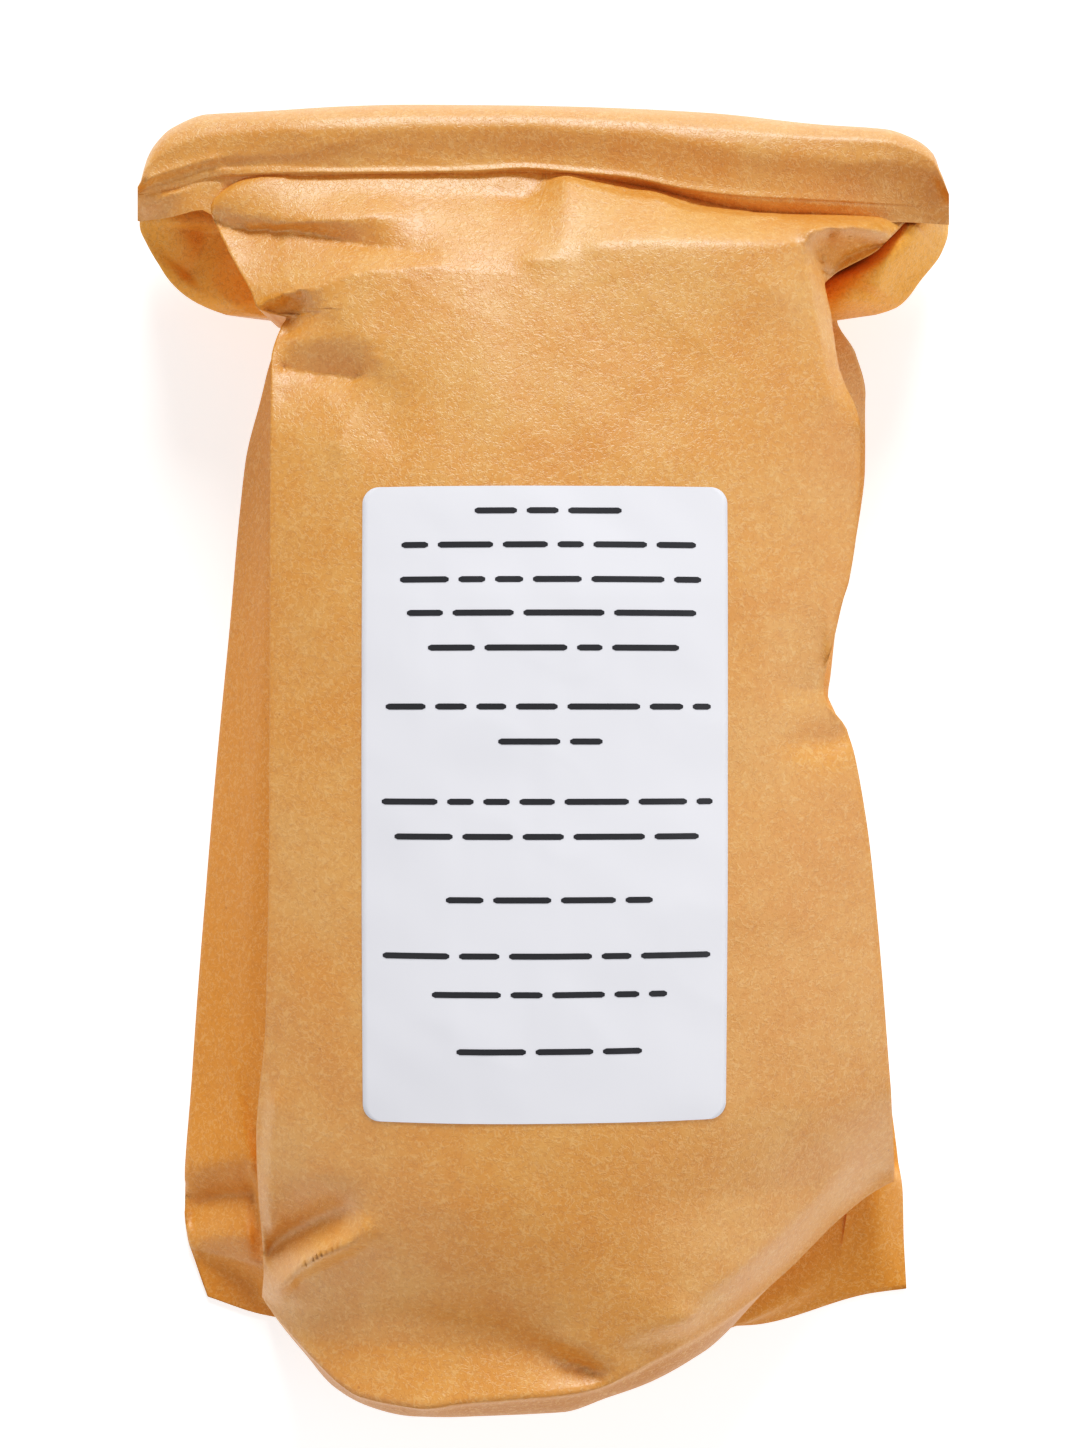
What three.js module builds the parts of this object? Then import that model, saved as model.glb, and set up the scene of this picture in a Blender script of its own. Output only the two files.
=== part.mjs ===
// A full kraft-paper bag of granola, closed by rolling its top, with a paper
// label stuck on its front. The bag lies on its back: +X runs across it, +Y
// runs from its bottom to its rolled top, and +Z is up, out of its front.
// Millimetres.
import * as THREE from 'three';
import { mergeVertices } from 'three/addons/utils/BufferGeometryUtils.js';

// ---------------------------------------------------------------- sizes

const PAPER_EDGE = 1.2; // thickness of a side where its layers lie flat
const LABEL_WIDTH = 57; // a common sheet label
const LABEL_HEIGHT = 99.1;
const LABEL_CORNER = 2.6;
const LABEL_CENTRE = [0.3, -6.4];
const LABEL_THICKNESS = 0.4;
const LABEL_GAP = 0.3; // clear space between the label and the bag

const STRAIGHT_ROW = -42; // rows curve with the bottom below this, straight above
const EAR_ROW = 75; // where the ears under the roll begin
const EAR_TURN = [72, 77]; // where the sides turn into the ears

// Curves read as [place, value] pairs, with a smooth line through them.

// Edge of the back panel, left and right: x against y.
const LEFT_EDGE = curve([
  [-93.5, -58.4], [-88.4, -60.4], [-77.8, -62.4], [-54.5, -61.1], [-6.8, -57.4],
  [22.7, -54.6], [51.2, -51.8], [65.3, -47.6], [71.2, -44.9], [74.2, -43.1],
  [EAR_ROW, -53.3], [79.4, -61.6], [83.6, -64.5], [89.9, -67.4],
]);
const RIGHT_EDGE = curve([
  [-92.1, 63.3], [-72.6, 62.1], [-57, 60.2], [-35, 57.6], [-16, 55.3],
  [-1.8, 52], [9.7, 49.2], [18, 49], [31, 52.3], [39, 54.8],
  [51, 56], [62.8, 55.6], [69.1, 53.2], [74.2, 49.4], [EAR_ROW, 56],
  [76.5, 60], [80.5, 63.3], [85.4, 67], [89.2, 68],
]);
// Height of those edges above the floor, against y.
const EDGE_HEIGHT = curve([[45, PAPER_EDGE], [59, 3], [68, 10], [74, 15.5], [80, 18], [90, 18]]);

// Front creases, where the front panel meets the side gussets: x and z against y.
const LEFT_CREASE = curve([
  [-89.8, -46.8], [-82.6, -45.9], [-62.2, -46.1], [-40, -44], [-5.8, -43.2],
  [54.5, -43.3], [64.6, -43.5], [71, -41.8], [74.2, -39.6], [EAR_ROW, -46],
  [81.7, -50.3], [89.4, -54.2],
]);
const LEFT_CREASE_HEIGHT = curve([
  [-89.8, 20], [-82.6, 24], [-62.2, 33], [-40, 40], [-5.8, 43], [32.7, 43],
  [54.5, 40.5], [64.6, 37], [71.3, 32], [74.2, 29], [EAR_ROW, 30], [82, 28.5], [89.4, 26],
]);
const RIGHT_CREASE = curve([
  [-69.5, 59.5], [-53.1, 57], [-14.5, 52.6], [-1.2, 50.9], [6.5, 48.8],
  [11, 45.4], [17.2, 45], [28.9, 48.3], [38.8, 49.6], [54.7, 50.1],
  [60.3, 50.2], [67.5, 48.2], [73.1, 46.2], [76.9, 45.4], [79.4, 47.5],
  [83.5, 54.5], [86, 57.1], [89.2, 60],
]);
const RIGHT_CREASE_HEIGHT = curve([
  [-69.5, 20], [-53.1, 30], [-32, 34], [-1.2, 37], [60, 38], [73.1, 37],
  [79.4, 33], [83.5, 29], [89.2, 21],
]);
// The sides fold inwards behind the front creases. On the body the fold lies
// this far in, at a share of the crease's height. On the ears the fold has a
// height of its own, and the layer outside it swells, at a share of its width.
const BODY_TUCK_SHARE = 0.45;
const EAR_TUCK_INWARD = 2.5;
const LEFT_TUCK = { inward: 1.2, earHeight: 17, swellAt: 0.5, swellHeight: 14.5 };
const RIGHT_TUCK = { inward: 3, earHeight: 12, swellAt: 0.62, swellHeight: 18.5 };
const SIDE_SAG = 1; // how far the side's outer layer sags below a straight line

// How sharply the front panel's edges turn down.
const SWELL_POWER = 2.3;
// Height of the middle of the front panel, against y.
const CROWN_HEIGHT = curve([
  [-94, 30], [-84, 36], [-73, 41.5], [-55, 46.5], [-38, 50], [-15, 52.5],
  [9, 53.5], [30, 53], [52, 51.5], [64, 49.5], [EAR_ROW, 46.8],
]);
// The same above EAR_ROW, against the share of the way up to the neck.
const SHOULDER_HEIGHT = curve([[0, 46.8], [0.2, 45.6], [0.45, 41.5], [0.75, 33], [1, 25]]);

// x of the ends of the bottom's ridge, and of the seam on the floor.
const RIDGE_ENDS = [-46.8, 59.5];
const SEAM_ENDS = [-58.4, 63.3];
const RIDGE_BLEND = 0.75; // share of the way to STRAIGHT_ROW that the ridge shapes
// The bottom, from the floor up, each y or z against x: the seam on the floor,
// the underside, the widest line of the bulge and the ridge over it. Past the
// bulge, the same lines run over the flat corners.
const SEAM_Y = curve([
  [-58.4, -93.5], [-48.9, -96.6], [-40, -98], [0, -99.5], [35.8, -98.5], [56.7, -93], [63.3, -92.1],
]);
const UNDER_Y = curve([
  [-61, -90], [-49, -94.4], [-45.4, -96], [-38.8, -99.2], [-30, -104.5], [-18, -106.5],
  [3.4, -106], [18, -101.6], [27, -99.4], [35, -97.2], [43.7, -92.5], [57, -84.5], [63.3, -84],
]);
const UNDER_Z = curve([[-58, 1.5], [-47, 2], [-38, 5], [18, 5], [30, 3.4], [36, 2], [63, 1.5]]);
const BULGE_Y = curve([
  [-62, -87], [-50, -91.2], [-45.4, -95.6], [-38.8, -101.4], [-34.4, -105.9], [-28, -109.3],
  [-20.2, -110.8], [3.4, -109.8], [10.8, -107.4], [25, -101.8], [33.5, -98], [37, -84.5],
  [48.2, -74.4], [57, -69], [63, -75],
]);
const BULGE_Z = curve([
  [-61, 1.6], [-50, 2.5], [-45, 10], [-38, 14], [18, 15], [27, 12], [33.5, 7], [37, 4], [57, 4], [63, 1.6],
]);
const RIDGE_Y = curve([
  [-62.2, -84], [-46.8, -89.8], [-38.2, -99.6], [-33.8, -103.9], [-27.3, -106], [-18, -105.9],
  [2.5, -101.9], [12.6, -100.4], [24, -94.2], [39.1, -83.4], [53.7, -71.8], [59.5, -69.5], [62.2, -69.5],
]);
const RIDGE_Z = curve([
  [-46.8, 20], [-38, 22], [-27, 25], [-18, 27], [24, 28], [39, 26], [53.7, 22], [59.5, 20],
]);

// The roll, each against x: the neck, where the panel goes under it; the lip,
// the edge of its outer layer; and its top.
const NECK_Y = curve([
  [-67.4, 89.9], [-62.5, 90.2], [-56.8, 91.7], [-52.4, 89.8], [-42.6, 88.8], [-30, 87.5], [-20, 90],
  [-3.1, 93.2], [4.1, 96], [13.1, 93.6], [23.9, 91.1], [42.3, 89.8], [68, 89.2],
]);
const NECK_Z = curve([[-67.4, 20], [-42, 22.5], [-29.5, 25.5], [0, 24], [23.9, 22], [68, 19]]);
const LIP_Y = curve([
  [-67.4, 93.6], [-54.5, 96.3], [-20, 96.8], [0, 97.6], [14.3, 96.4], [32.3, 93.4], [68, 91.4],
]);
const TOP_Y = curve([
  [-68, 95], [-66.8, 98.6], [-65.1, 103.1], [-62.1, 106.3], [-56.1, 108.7], [-22.6, 109.8],
  [3.9, 109.5], [29, 108.5], [57.3, 106], [62.3, 104.2], [65.3, 101.6], [66.6, 98.3], [68.1, 94],
]);
// The section of the roll: the height of its face from the lip (0) to the top
// (1), and the height of its back from the neck (0) to the top (1).
const ROLL_FACE = curve([[0, 25], [0.12, 26.2], [0.4, 27.5], [0.7, 26], [0.9, 22], [1, 18]]);
const ROLL_BACK = curve([[0, 9], [0.3, 7], [0.6, 8], [0.85, 12], [1, 18 - PAPER_EDGE]]);
const ROLL_ENDS = [-67.4, 68]; // x of its ends, and of the panel's creases in it
const ROLL_CREASES = [-54.2, 60];
const ROLL_TAPER = 0.12; // how much flatter the roll is at its ends
const TAPER_FROM = 40; // how far from the middle that begins
const NECK_DROP = 2; // how far the neck lies below the panel's end
const NECK_SPREAD = 1.15; // how much wider the roll is than the panel below it

// The back rises to the roll between these two heights. It is flat across, and
// turns up near its edges, the more sharply the higher the power.
const BACK_RISE = [72, 89];
const BACK_POWER = 4;
const SEAM_RISE = [-93, -60]; // between these the back turns from the seam's bow to straight

// Folds of the front: [x, y] of both ends, how far they reach to each side, and
// how high they stand, or how deep they go where that is negative.
const FOLDS = [
  { name: 'dent below the left fold', from: [-44, 62.5], to: [-26, 64.5], reach: 6, rise: -3.2 },
  { name: 'swelling below that dent', from: [-40, 57], to: [-27, 61], reach: 6, rise: 1.2 },
  { name: 'kink in the right side', from: [50, 8], to: [40, 10.5], reach: 8, rise: -2.6 },
  { name: 'pinch over the bottom left corner', from: [-44, -88], to: [-27, -74], reach: 5, rise: 2.4 },
  { name: 'hollow above that pinch', from: [-46, -75], to: [-28, -69], reach: 6, rise: -2 },
  { name: 'hollow along the bottom', from: [-36, -88], to: [10, -97], reach: 9, rise: -2.6 },
  { name: 'bump where the panel meets the roll', from: [4, 97], to: [2.5, 80], reach: 8, rise: 2.6 },
];

// Columns of the surface: four steps over each side, the rest over the panel.
const SIDE_STEPS = 4;
const PANEL_STEPS = 22;
const COLUMNS = PANEL_STEPS + 2 * SIDE_STEPS;

// Rows of the surface, from the bottom seam to the top of the roll.
const BOTTOM_ROWS = 6;
const FAN_ROWS = 7; // from the ridge to STRAIGHT_ROW
const BODY_ROWS = [
  -36, -29, -22, -15, -8, -1, 5, 10, 14, 19, 25, 31, 37, 43, 49, 55, 60, 64, 67.5, 70.5, 72.7, 74.2,
];
const SHOULDER_ROWS = 9; // from EAR_ROW to the neck
const ROLL_ROWS = 10;
const LIP_SHARE = 0.3; // of those rows that lie below the lip

// ---------------------------------------------------------------- helpers

/** A smooth line through [place, value] pairs that never overshoots them. */
function curve(pairs) {
  const n = pairs.length;
  const step = (i) => pairs[i + 1][0] - pairs[i][0];
  const slope = (i) => (pairs[i + 1][1] - pairs[i][1]) / step(i);
  const tangent = (i) => {
    if (i === 0) return slope(0);
    if (i === n - 1) return slope(n - 2);
    const before = slope(i - 1);
    const after = slope(i);
    return before * after <= 0 ? 0 : (2 * before * after) / (before + after);
  };
  const tangents = pairs.map((_, i) => tangent(i));
  return (place) => {
    if (place <= pairs[0][0]) return pairs[0][1];
    if (place >= pairs[n - 1][0]) return pairs[n - 1][1];
    let i = 0;
    while (place > pairs[i + 1][0]) i += 1;
    const h = step(i);
    const s = (place - pairs[i][0]) / h;
    const rise = pairs[i + 1][1] - pairs[i][1];
    const ease = s * s * (3 - 2 * s);
    const start = s * (1 - s) * (1 - s) * h * tangents[i];
    const end = s * s * (s - 1) * h * tangents[i + 1];
    return pairs[i][1] + rise * ease + start + end;
  };
}

const mix = THREE.MathUtils.lerp;
const ease = (from, to, value) => THREE.MathUtils.smoothstep(value, from, to);
const mixPoints = (a, b, share) => a.map((value, i) => mix(value, b[i], share));

// ---------------------------------------------------------------- the front

/** How much the folds raise the front at (x, y). */
function foldHeight(x, y) {
  return FOLDS.reduce((height, { from, to, reach, rise }) => {
    const run = [to[0] - from[0], to[1] - from[1]];
    const length = Math.hypot(...run);
    const along = ((x - from[0]) * run[0] + (y - from[1]) * run[1]) / length;
    const aside = Math.abs((x - from[0]) * run[1] - (y - from[1]) * run[0]) / length;
    const past = Math.max(0, -along, along - length);
    const off = Math.min(1, Math.hypot(aside, past) / reach);
    return height + rise * (1 - off * off) ** 2;
  }, 0);
}

/** Height of the front panel at a share across it and a height y. */
function panelHeight(share, y, crown) {
  const left = LEFT_CREASE_HEIGHT(y);
  const right = RIGHT_CREASE_HEIGHT(y);
  const off = Math.abs(2 * share - 1);
  const swell = 1 - off ** SWELL_POWER;
  const x = mix(LEFT_CREASE(y), RIGHT_CREASE(y), share);
  return mix(left, right, share) + (crown - (left + right) / 2) * swell + foldHeight(x, y);
}

/** Points from the edge of one side to its front crease: edge, fold, tuck, crease. */
function sidePoints(y, isLeft) {
  const inward = isLeft ? 1 : -1;
  const edgeX = (isLeft ? LEFT_EDGE : RIGHT_EDGE)(y);
  const creaseX = (isLeft ? LEFT_CREASE : RIGHT_CREASE)(y);
  const creaseZ = (isLeft ? LEFT_CREASE_HEIGHT : RIGHT_CREASE_HEIGHT)(y);
  const edge = [edgeX, y, EDGE_HEIGHT(y)];
  const crease = [creaseX, y, creaseZ];
  const tuck = isLeft ? LEFT_TUCK : RIGHT_TUCK;
  const ear = ease(...EAR_TURN, y);
  const bodyTuck = [creaseX + inward * tuck.inward, y, creaseZ * BODY_TUCK_SHARE];
  const bodyFold = mixPoints(edge, bodyTuck, 0.5);
  bodyFold[2] -= SIDE_SAG;
  const earTuck = [creaseX + inward * EAR_TUCK_INWARD, y, tuck.earHeight];
  const earFold = mixPoints(edge, earTuck, tuck.swellAt);
  earFold[2] = tuck.swellHeight;
  return [edge, mixPoints(bodyFold, earFold, ear), mixPoints(bodyTuck, earTuck, ear), crease];
}

/** A point of a row that crosses the front at height y(x), by column. */
function frontPoint(column, rowY, crownAt) {
  const share = (column - SIDE_STEPS) / PANEL_STEPS;
  if (share < 0 || share > 1) {
    const isLeft = share < 0;
    const fromEdge = isLeft ? column : COLUMNS - column;
    const points = sidePoints(rowY(RIDGE_ENDS[isLeft ? 0 : 1]), isLeft);
    const place = (fromEdge / SIDE_STEPS) * 3;
    const i = Math.min(2, Math.floor(place));
    return mixPoints(points[i], points[i + 1], place - i);
  }
  const y = rowY(mix(...RIDGE_ENDS, share));
  const x = mix(LEFT_CREASE(y), RIGHT_CREASE(y), share);
  return [x, y, panelHeight(share, y, crownAt(y))];
}

/** Rows between the ridge of the bottom and STRAIGHT_ROW. */
function fanPoint(column, share) {
  const rowY = (x) => mix(RIDGE_Y(x), STRAIGHT_ROW, share);
  const point = frontPoint(column, rowY, CROWN_HEIGHT);
  const across = (column - SIDE_STEPS) / PANEL_STEPS;
  if (across >= 0 && across <= 1) {
    const ridge = RIDGE_Z(point[0]);
    point[2] = mix(ridge, point[2], ease(0, RIDGE_BLEND, share));
  }
  return point;
}

/** Rows of the bottom: seam, underside, bulge, ridge at shares 0, 1/3, 2/3, 1. */
function bottomPoint(column, share) {
  const ridge = fanPoint(column, 0);
  const seamX = mix(...SEAM_ENDS, column / COLUMNS);
  const at = (place) => mix(seamX, ridge[0], place);
  const lines = [
    [at(0), SEAM_Y(at(0)), PAPER_EDGE],
    [at(1 / 3), UNDER_Y(at(1 / 3)), UNDER_Z(at(1 / 3))],
    [at(2 / 3), BULGE_Y(at(2 / 3)), BULGE_Z(at(2 / 3))],
    ridge,
  ];
  const place = share * 3;
  const i = Math.min(2, Math.floor(place));
  return mixPoints(lines[i], lines[i + 1], place - i);
}

/** Rows between EAR_ROW and the neck. */
function shoulderPoint(column, share) {
  const rowY = (x) => mix(EAR_ROW, NECK_Y(x * NECK_SPREAD), share);
  return frontPoint(column, rowY, () => SHOULDER_HEIGHT(share));
}

/** Where a column crosses the roll. */
function rollX(column) {
  const fromEdge = Math.min(column, COLUMNS - column);
  const side = column < COLUMNS / 2 ? 0 : 1;
  if (fromEdge <= SIDE_STEPS) return mix(ROLL_ENDS[side], ROLL_CREASES[side], fromEdge / SIDE_STEPS);
  return mix(...ROLL_CREASES, (column - SIDE_STEPS) / PANEL_STEPS);
}

/** Rows of the front of the roll, from the neck (0) to its top (1). */
function rollPoint(column, share) {
  const x = rollX(column);
  const taper = 1 - ROLL_TAPER * ease(TAPER_FROM, ROLL_ENDS[1], Math.abs(x));
  if (share <= LIP_SHARE) {
    const neck = [x, NECK_Y(x), NECK_Z(x) - NECK_DROP];
    const lip = [x, LIP_Y(x), ROLL_FACE(0) * taper];
    return mixPoints(neck, lip, share / LIP_SHARE);
  }
  const over = (share - LIP_SHARE) / (1 - LIP_SHARE);
  const z = ROLL_FACE(over);
  return [x, mix(LIP_Y(x), TOP_Y(x), over), mix(z, z * taper, 1 - over)];
}

/** Rows of the back of the roll, from the neck (0) to its top (1). */
function rollBackPoint(column, share) {
  const x = rollX(column);
  return [x, mix(BACK_RISE[1], TOP_Y(x), share), ROLL_BACK(share)];
}

// ---------------------------------------------------------------- the rows

/** Every row of the front, bottom to top, as a function of the column. */
function frontRows() {
  const rows = [];
  for (let i = 0; i < BOTTOM_ROWS; i += 1) rows.push((c) => bottomPoint(c, i / BOTTOM_ROWS));
  for (let i = 0; i <= FAN_ROWS; i += 1) rows.push((c) => fanPoint(c, i / FAN_ROWS));
  BODY_ROWS.forEach((y) => rows.push((c) => frontPoint(c, () => y, CROWN_HEIGHT)));
  for (let i = 0; i < SHOULDER_ROWS; i += 1) rows.push((c) => shoulderPoint(c, i / SHOULDER_ROWS));
  for (let i = 0; i <= ROLL_ROWS; i += 1) rows.push((c) => rollPoint(c, i / ROLL_ROWS));
  return rows;
}

/** The point of the back behind a row of the front below the roll, by column. */
function backPoint(row, column) {
  const share = column / COLUMNS;
  const [x, y, edge] = mixPoints(row(0), row(COLUMNS), share);
  const off = Math.abs(2 * share - 1);
  const middle = ROLL_BACK(0) * ease(...BACK_RISE, y);
  const straight = mix(SEAM_Y(SEAM_ENDS[0]), SEAM_Y(SEAM_ENDS[1]), share);
  const bow = (SEAM_Y(x) - straight) * (1 - ease(...SEAM_RISE, y));
  return [x, y + bow, mix(middle, edge - PAPER_EDGE, off ** BACK_POWER)];
}

/** A closed grid with a front, a back and thin walls, from a function of (u, v, front). */
function shell(columns, rows, place) {
  const box = new THREE.BoxGeometry(1, 1, 1, columns, rows, 1);
  box.deleteAttribute('normal');
  box.deleteAttribute('uv');
  const position = box.attributes.position;
  for (let i = 0; i < position.count; i += 1) {
    const column = Math.round((position.getX(i) + 0.5) * columns);
    const row = Math.round((position.getY(i) + 0.5) * rows);
    position.setXYZ(i, ...place(column, row, position.getZ(i) > 0));
  }
  const merged = mergeVertices(box, 1e-4);
  merged.computeVertexNormals();
  return merged;
}

function bagGeometry() {
  const rows = frontRows();
  const last = rows.length - 1;
  return shell(COLUMNS, last, (column, row, front) => {
    if (front) return rows[row](column);
    const share = (row - (last - ROLL_ROWS)) / ROLL_ROWS;
    return share < 0 ? backPoint(rows[row], column) : rollBackPoint(column, share);
  });
}

// ---------------------------------------------------------------- the label

/** Half the label's width at a height from its centre, with its round corners. */
function labelHalfWidth(y) {
  const past = Math.abs(y) - (LABEL_HEIGHT / 2 - LABEL_CORNER);
  if (past <= 0) return LABEL_WIDTH / 2;
  return LABEL_WIDTH / 2 - LABEL_CORNER + Math.sqrt(Math.max(0, LABEL_CORNER ** 2 - past ** 2));
}

/** Heights of the label's rows, closer together round its corners. */
function labelRows() {
  const straight = LABEL_HEIGHT / 2 - LABEL_CORNER;
  const arc = [0.35, 0.6, 0.8, 0.93, 1].map((sine) => straight + LABEL_CORNER * sine);
  const middle = Array.from({ length: 19 }, (_, i) => mix(-straight, straight, i / 18));
  return [...arc.map((y) => -y).reverse(), ...middle, ...arc];
}

function labelGeometry() {
  const rows = labelRows();
  const columns = 12;
  return shell(columns, rows.length - 1, (column, row, front) => {
    const x = LABEL_CENTRE[0] + labelHalfWidth(rows[row]) * (2 * column / columns - 1);
    const y = LABEL_CENTRE[1] + rows[row];
    const share = (x - LEFT_CREASE(y)) / (RIGHT_CREASE(y) - LEFT_CREASE(y));
    const z = panelHeight(share, y, CROWN_HEIGHT(y)) + LABEL_GAP;
    return [x, y, front ? z + LABEL_THICKNESS : z];
  });
}

// ---------------------------------------------------------------- assembly

const kraft = new THREE.MeshStandardMaterial({ color: 0xd29a5a, roughness: 0.85, metalness: 0 });
const labelPaper = new THREE.MeshStandardMaterial({ color: 0xe6e6ee, roughness: 0.55, metalness: 0 });

const bag = new THREE.Mesh(bagGeometry(), kraft);
bag.name = 'kraft_bag';
const label = new THREE.Mesh(labelGeometry(), labelPaper);
label.name = 'label';

const granolaBag = new THREE.Group();
granolaBag.name = 'granola_bag';
granolaBag.add(bag, label);

// The origin is under the middle of the bag's box, on the floor.
bag.geometry.computeBoundingBox();
const middle = bag.geometry.boundingBox.getCenter(new THREE.Vector3());
granolaBag.position.set(-middle.x, -middle.y, -bag.geometry.boundingBox.min.z);
granolaBag.updateMatrixWorld(true);

export default granolaBag;
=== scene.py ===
import math
import random

import bmesh
import bpy
import numpy as np
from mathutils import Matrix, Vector


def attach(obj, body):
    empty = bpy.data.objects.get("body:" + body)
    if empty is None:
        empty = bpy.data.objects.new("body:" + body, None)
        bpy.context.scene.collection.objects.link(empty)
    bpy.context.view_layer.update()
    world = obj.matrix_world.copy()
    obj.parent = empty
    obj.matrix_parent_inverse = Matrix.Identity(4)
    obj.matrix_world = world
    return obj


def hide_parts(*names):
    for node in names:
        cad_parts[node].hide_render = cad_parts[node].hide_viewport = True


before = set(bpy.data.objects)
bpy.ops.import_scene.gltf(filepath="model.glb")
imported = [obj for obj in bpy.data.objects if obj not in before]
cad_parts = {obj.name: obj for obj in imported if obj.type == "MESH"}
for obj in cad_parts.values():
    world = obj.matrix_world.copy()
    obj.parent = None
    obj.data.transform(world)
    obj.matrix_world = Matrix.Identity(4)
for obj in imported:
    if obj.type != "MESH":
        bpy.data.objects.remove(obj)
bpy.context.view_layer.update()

MM = 0.001
DRAWING_SHIFT = (-0.35, 0.5)  # from the drawing to the frame, across and along the bag
CAMERA_HEIGHT = 450  # of the lens above the floor


# ---- helpers

def curve(*pairs):
    """A smooth line through (place, value) pairs that never overshoots them."""
    places = np.array([pair[0] for pair in pairs], float)
    values = np.array([pair[1] for pair in pairs], float)
    steps = np.diff(places)
    slopes = np.diff(values) / steps
    before, after = slopes[:-1], slopes[1:]
    safe = np.where(before * after > 0, before + after, 1)
    inner = np.where(before * after > 0, 2 * before * after / safe, 0)
    tangents = np.concatenate([slopes[:1], inner, slopes[-1:]])

    def value_at(place):
        place = np.clip(np.asarray(place, float), places[0], places[-1])
        i = np.clip(np.searchsorted(places, place) - 1, 0, len(steps) - 1)
        s = (place - places[i]) / steps[i]
        rise = values[i + 1] - values[i]
        start = s * (1 - s) ** 2 * steps[i] * tangents[i]
        end = s * s * (s - 1) * steps[i] * tangents[i + 1]
        return values[i] + rise * s * s * (3 - 2 * s) + start + end

    return value_at


def mix(a, b, share):
    return a + (b - a) * share


def ease(start, end, value):
    """0 before start, 1 after end, and a smooth step between."""
    s = np.clip((value - start) / (end - start), 0, 1)
    return s * s * (3 - 2 * s)


def soft_noise(x, y, size, seed):
    """A smooth random field between -1 and 1 with bumps about size apart."""
    table = np.random.default_rng(seed).uniform(-1, 1, (64, 64))
    u, v = np.asarray(x, float) / size + 31.7, np.asarray(y, float) / size + 17.3
    i, j = np.floor(u).astype(int), np.floor(v).astype(int)
    s, t = ease(0, 1, u - i), ease(0, 1, v - j)
    low = mix(table[j % 64, i % 64], table[j % 64, (i + 1) % 64], s)
    high = mix(table[(j + 1) % 64, i % 64], table[(j + 1) % 64, (i + 1) % 64], s)
    return mix(low, high, t)


def crumple(x, y, seed):
    """Soft waves and a few faint creases of used paper, in millimetres."""
    waves = 0.32 * soft_noise(x, y, 17, seed) + 0.12 * soft_noise(x + y * 0.4, y, 7, seed + 1)
    crease = 1 - np.abs(soft_noise(x * 1.3, y + x * 0.5, 13, seed + 2))
    return waves + 0.3 * np.clip(crease - 0.8, 0, 1)


def through(points, share):
    """A smooth line through evenly spaced points, each an array of x, y, z."""
    points = [np.asarray(point, float) for point in points]
    count = len(points) - 1
    slopes = [points[i + 1] - points[i] for i in range(count)]
    tangents = [slopes[0]]
    for before, after in zip(slopes[:-1], slopes[1:]):
        same = before * after > 0
        total = np.where(same, before + after, 1)
        tangents.append(np.where(same, 2 * before * after / total, 0))
    tangents.append(slopes[-1])
    place = np.clip(share * count, 0, count - 1e-9)
    index = np.floor(place).astype(int)
    s = place - index
    out = np.zeros_like(points[0])
    for i in range(count):
        line = (points[i] + slopes[i] * s * s * (3 - 2 * s)
                + tangents[i] * s * (1 - s) ** 2 + tangents[i + 1] * s * s * (s - 1))
        out = np.where(index == i, line, out)
    return out


# ---- the bag's form

EAR_ROW = 75  # y where the ears under the roll begin
STRAIGHT_ROW = -42  # rows curve with the bottom below this y, and are straight above

# Edge of the back panel, left and right: x against y.
LEFT_EDGE = curve(
    (-93.5, -58.4), (-88.4, -60.4), (-77.8, -62.4), (-54.5, -61.1), (-6.8, -57.4),
    (22.7, -54.6), (51.2, -51.8), (65.3, -47.6), (71.2, -44.9), (74.2, -43.1),
    (EAR_ROW, -53.3), (79.4, -61.6), (83.6, -64.7), (87, -66.7), (89.9, -68), (93, -68.3))
RIGHT_EDGE = curve(
    (-92.1, 63.3), (-72.6, 62.1), (-57, 60.2), (-35, 57.6), (-16, 55.3),
    (-1.8, 52.4), (3, 53), (8, 51), (11.4, 49.6), (14, 50), (22, 50.9), (31, 52.4),
    (39, 54.6), (51, 56), (62.8, 55.6), (69.1, 53.2), (74.2, 49.4), (EAR_ROW, 56),
    (76.5, 60), (80.5, 63.3), (85.4, 67), (89.2, 68.3), (93, 68.5))
# Height of those edges above the floor, against y.
EDGE_HEIGHT = curve((45, 0.8), (59, 3), (68, 10), (74, 16.5), (80, 17.5), (90, 15))

# Front creases, where the front panel meets the gussets: x against y.
LEFT_CREASE = curve(
    (-89.8, -46.8), (-82.6, -45.9), (-62.2, -46.1), (-40, -44), (-5.8, -43.2),
    (54.5, -43.3), (64.6, -43.5), (70.4, -42.1), (71.9, -41.4), (72.7, -45.6), (75.8, -47),
    (80.5, -49.7), (85.9, -52.5), (89.4, -54.2))
RIGHT_CREASE = curve(
    (-69.5, 59.5), (-53.1, 57), (-14.5, 52.6), (-0.4, 50.2), (2.8, 49.5), (5.6, 48.6),
    (7.6, 46.9), (9.2, 45.4), (11.6, 44.7), (13.2, 44.8), (16.4, 45.3), (19.6, 46.2),
    (26, 47.8), (29, 48.8), (38.8, 50.3), (47, 50.7), (53.4, 50.6), (57, 49.8), (60.3, 48.4),
    (63.8, 47.3), (67.5, 46.8), (73.1, 46.2), (76.9, 45.4), (79.4, 47.5), (83.5, 54.5),
    (86, 57.1), (89.2, 60))
# Height of the middle of the front panel, against y.
CROWN_HEIGHT = curve(
    (-94, 35.6), (-84, 41), (-73, 45), (-58, 48.4), (-38, 50.7), (-15, 51.8),
    (4, 52), (22, 51.7), (40, 50.5), (56, 48.6), (66, 46.8), (EAR_ROW, 45), (84, 43), (97, 39))

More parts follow.
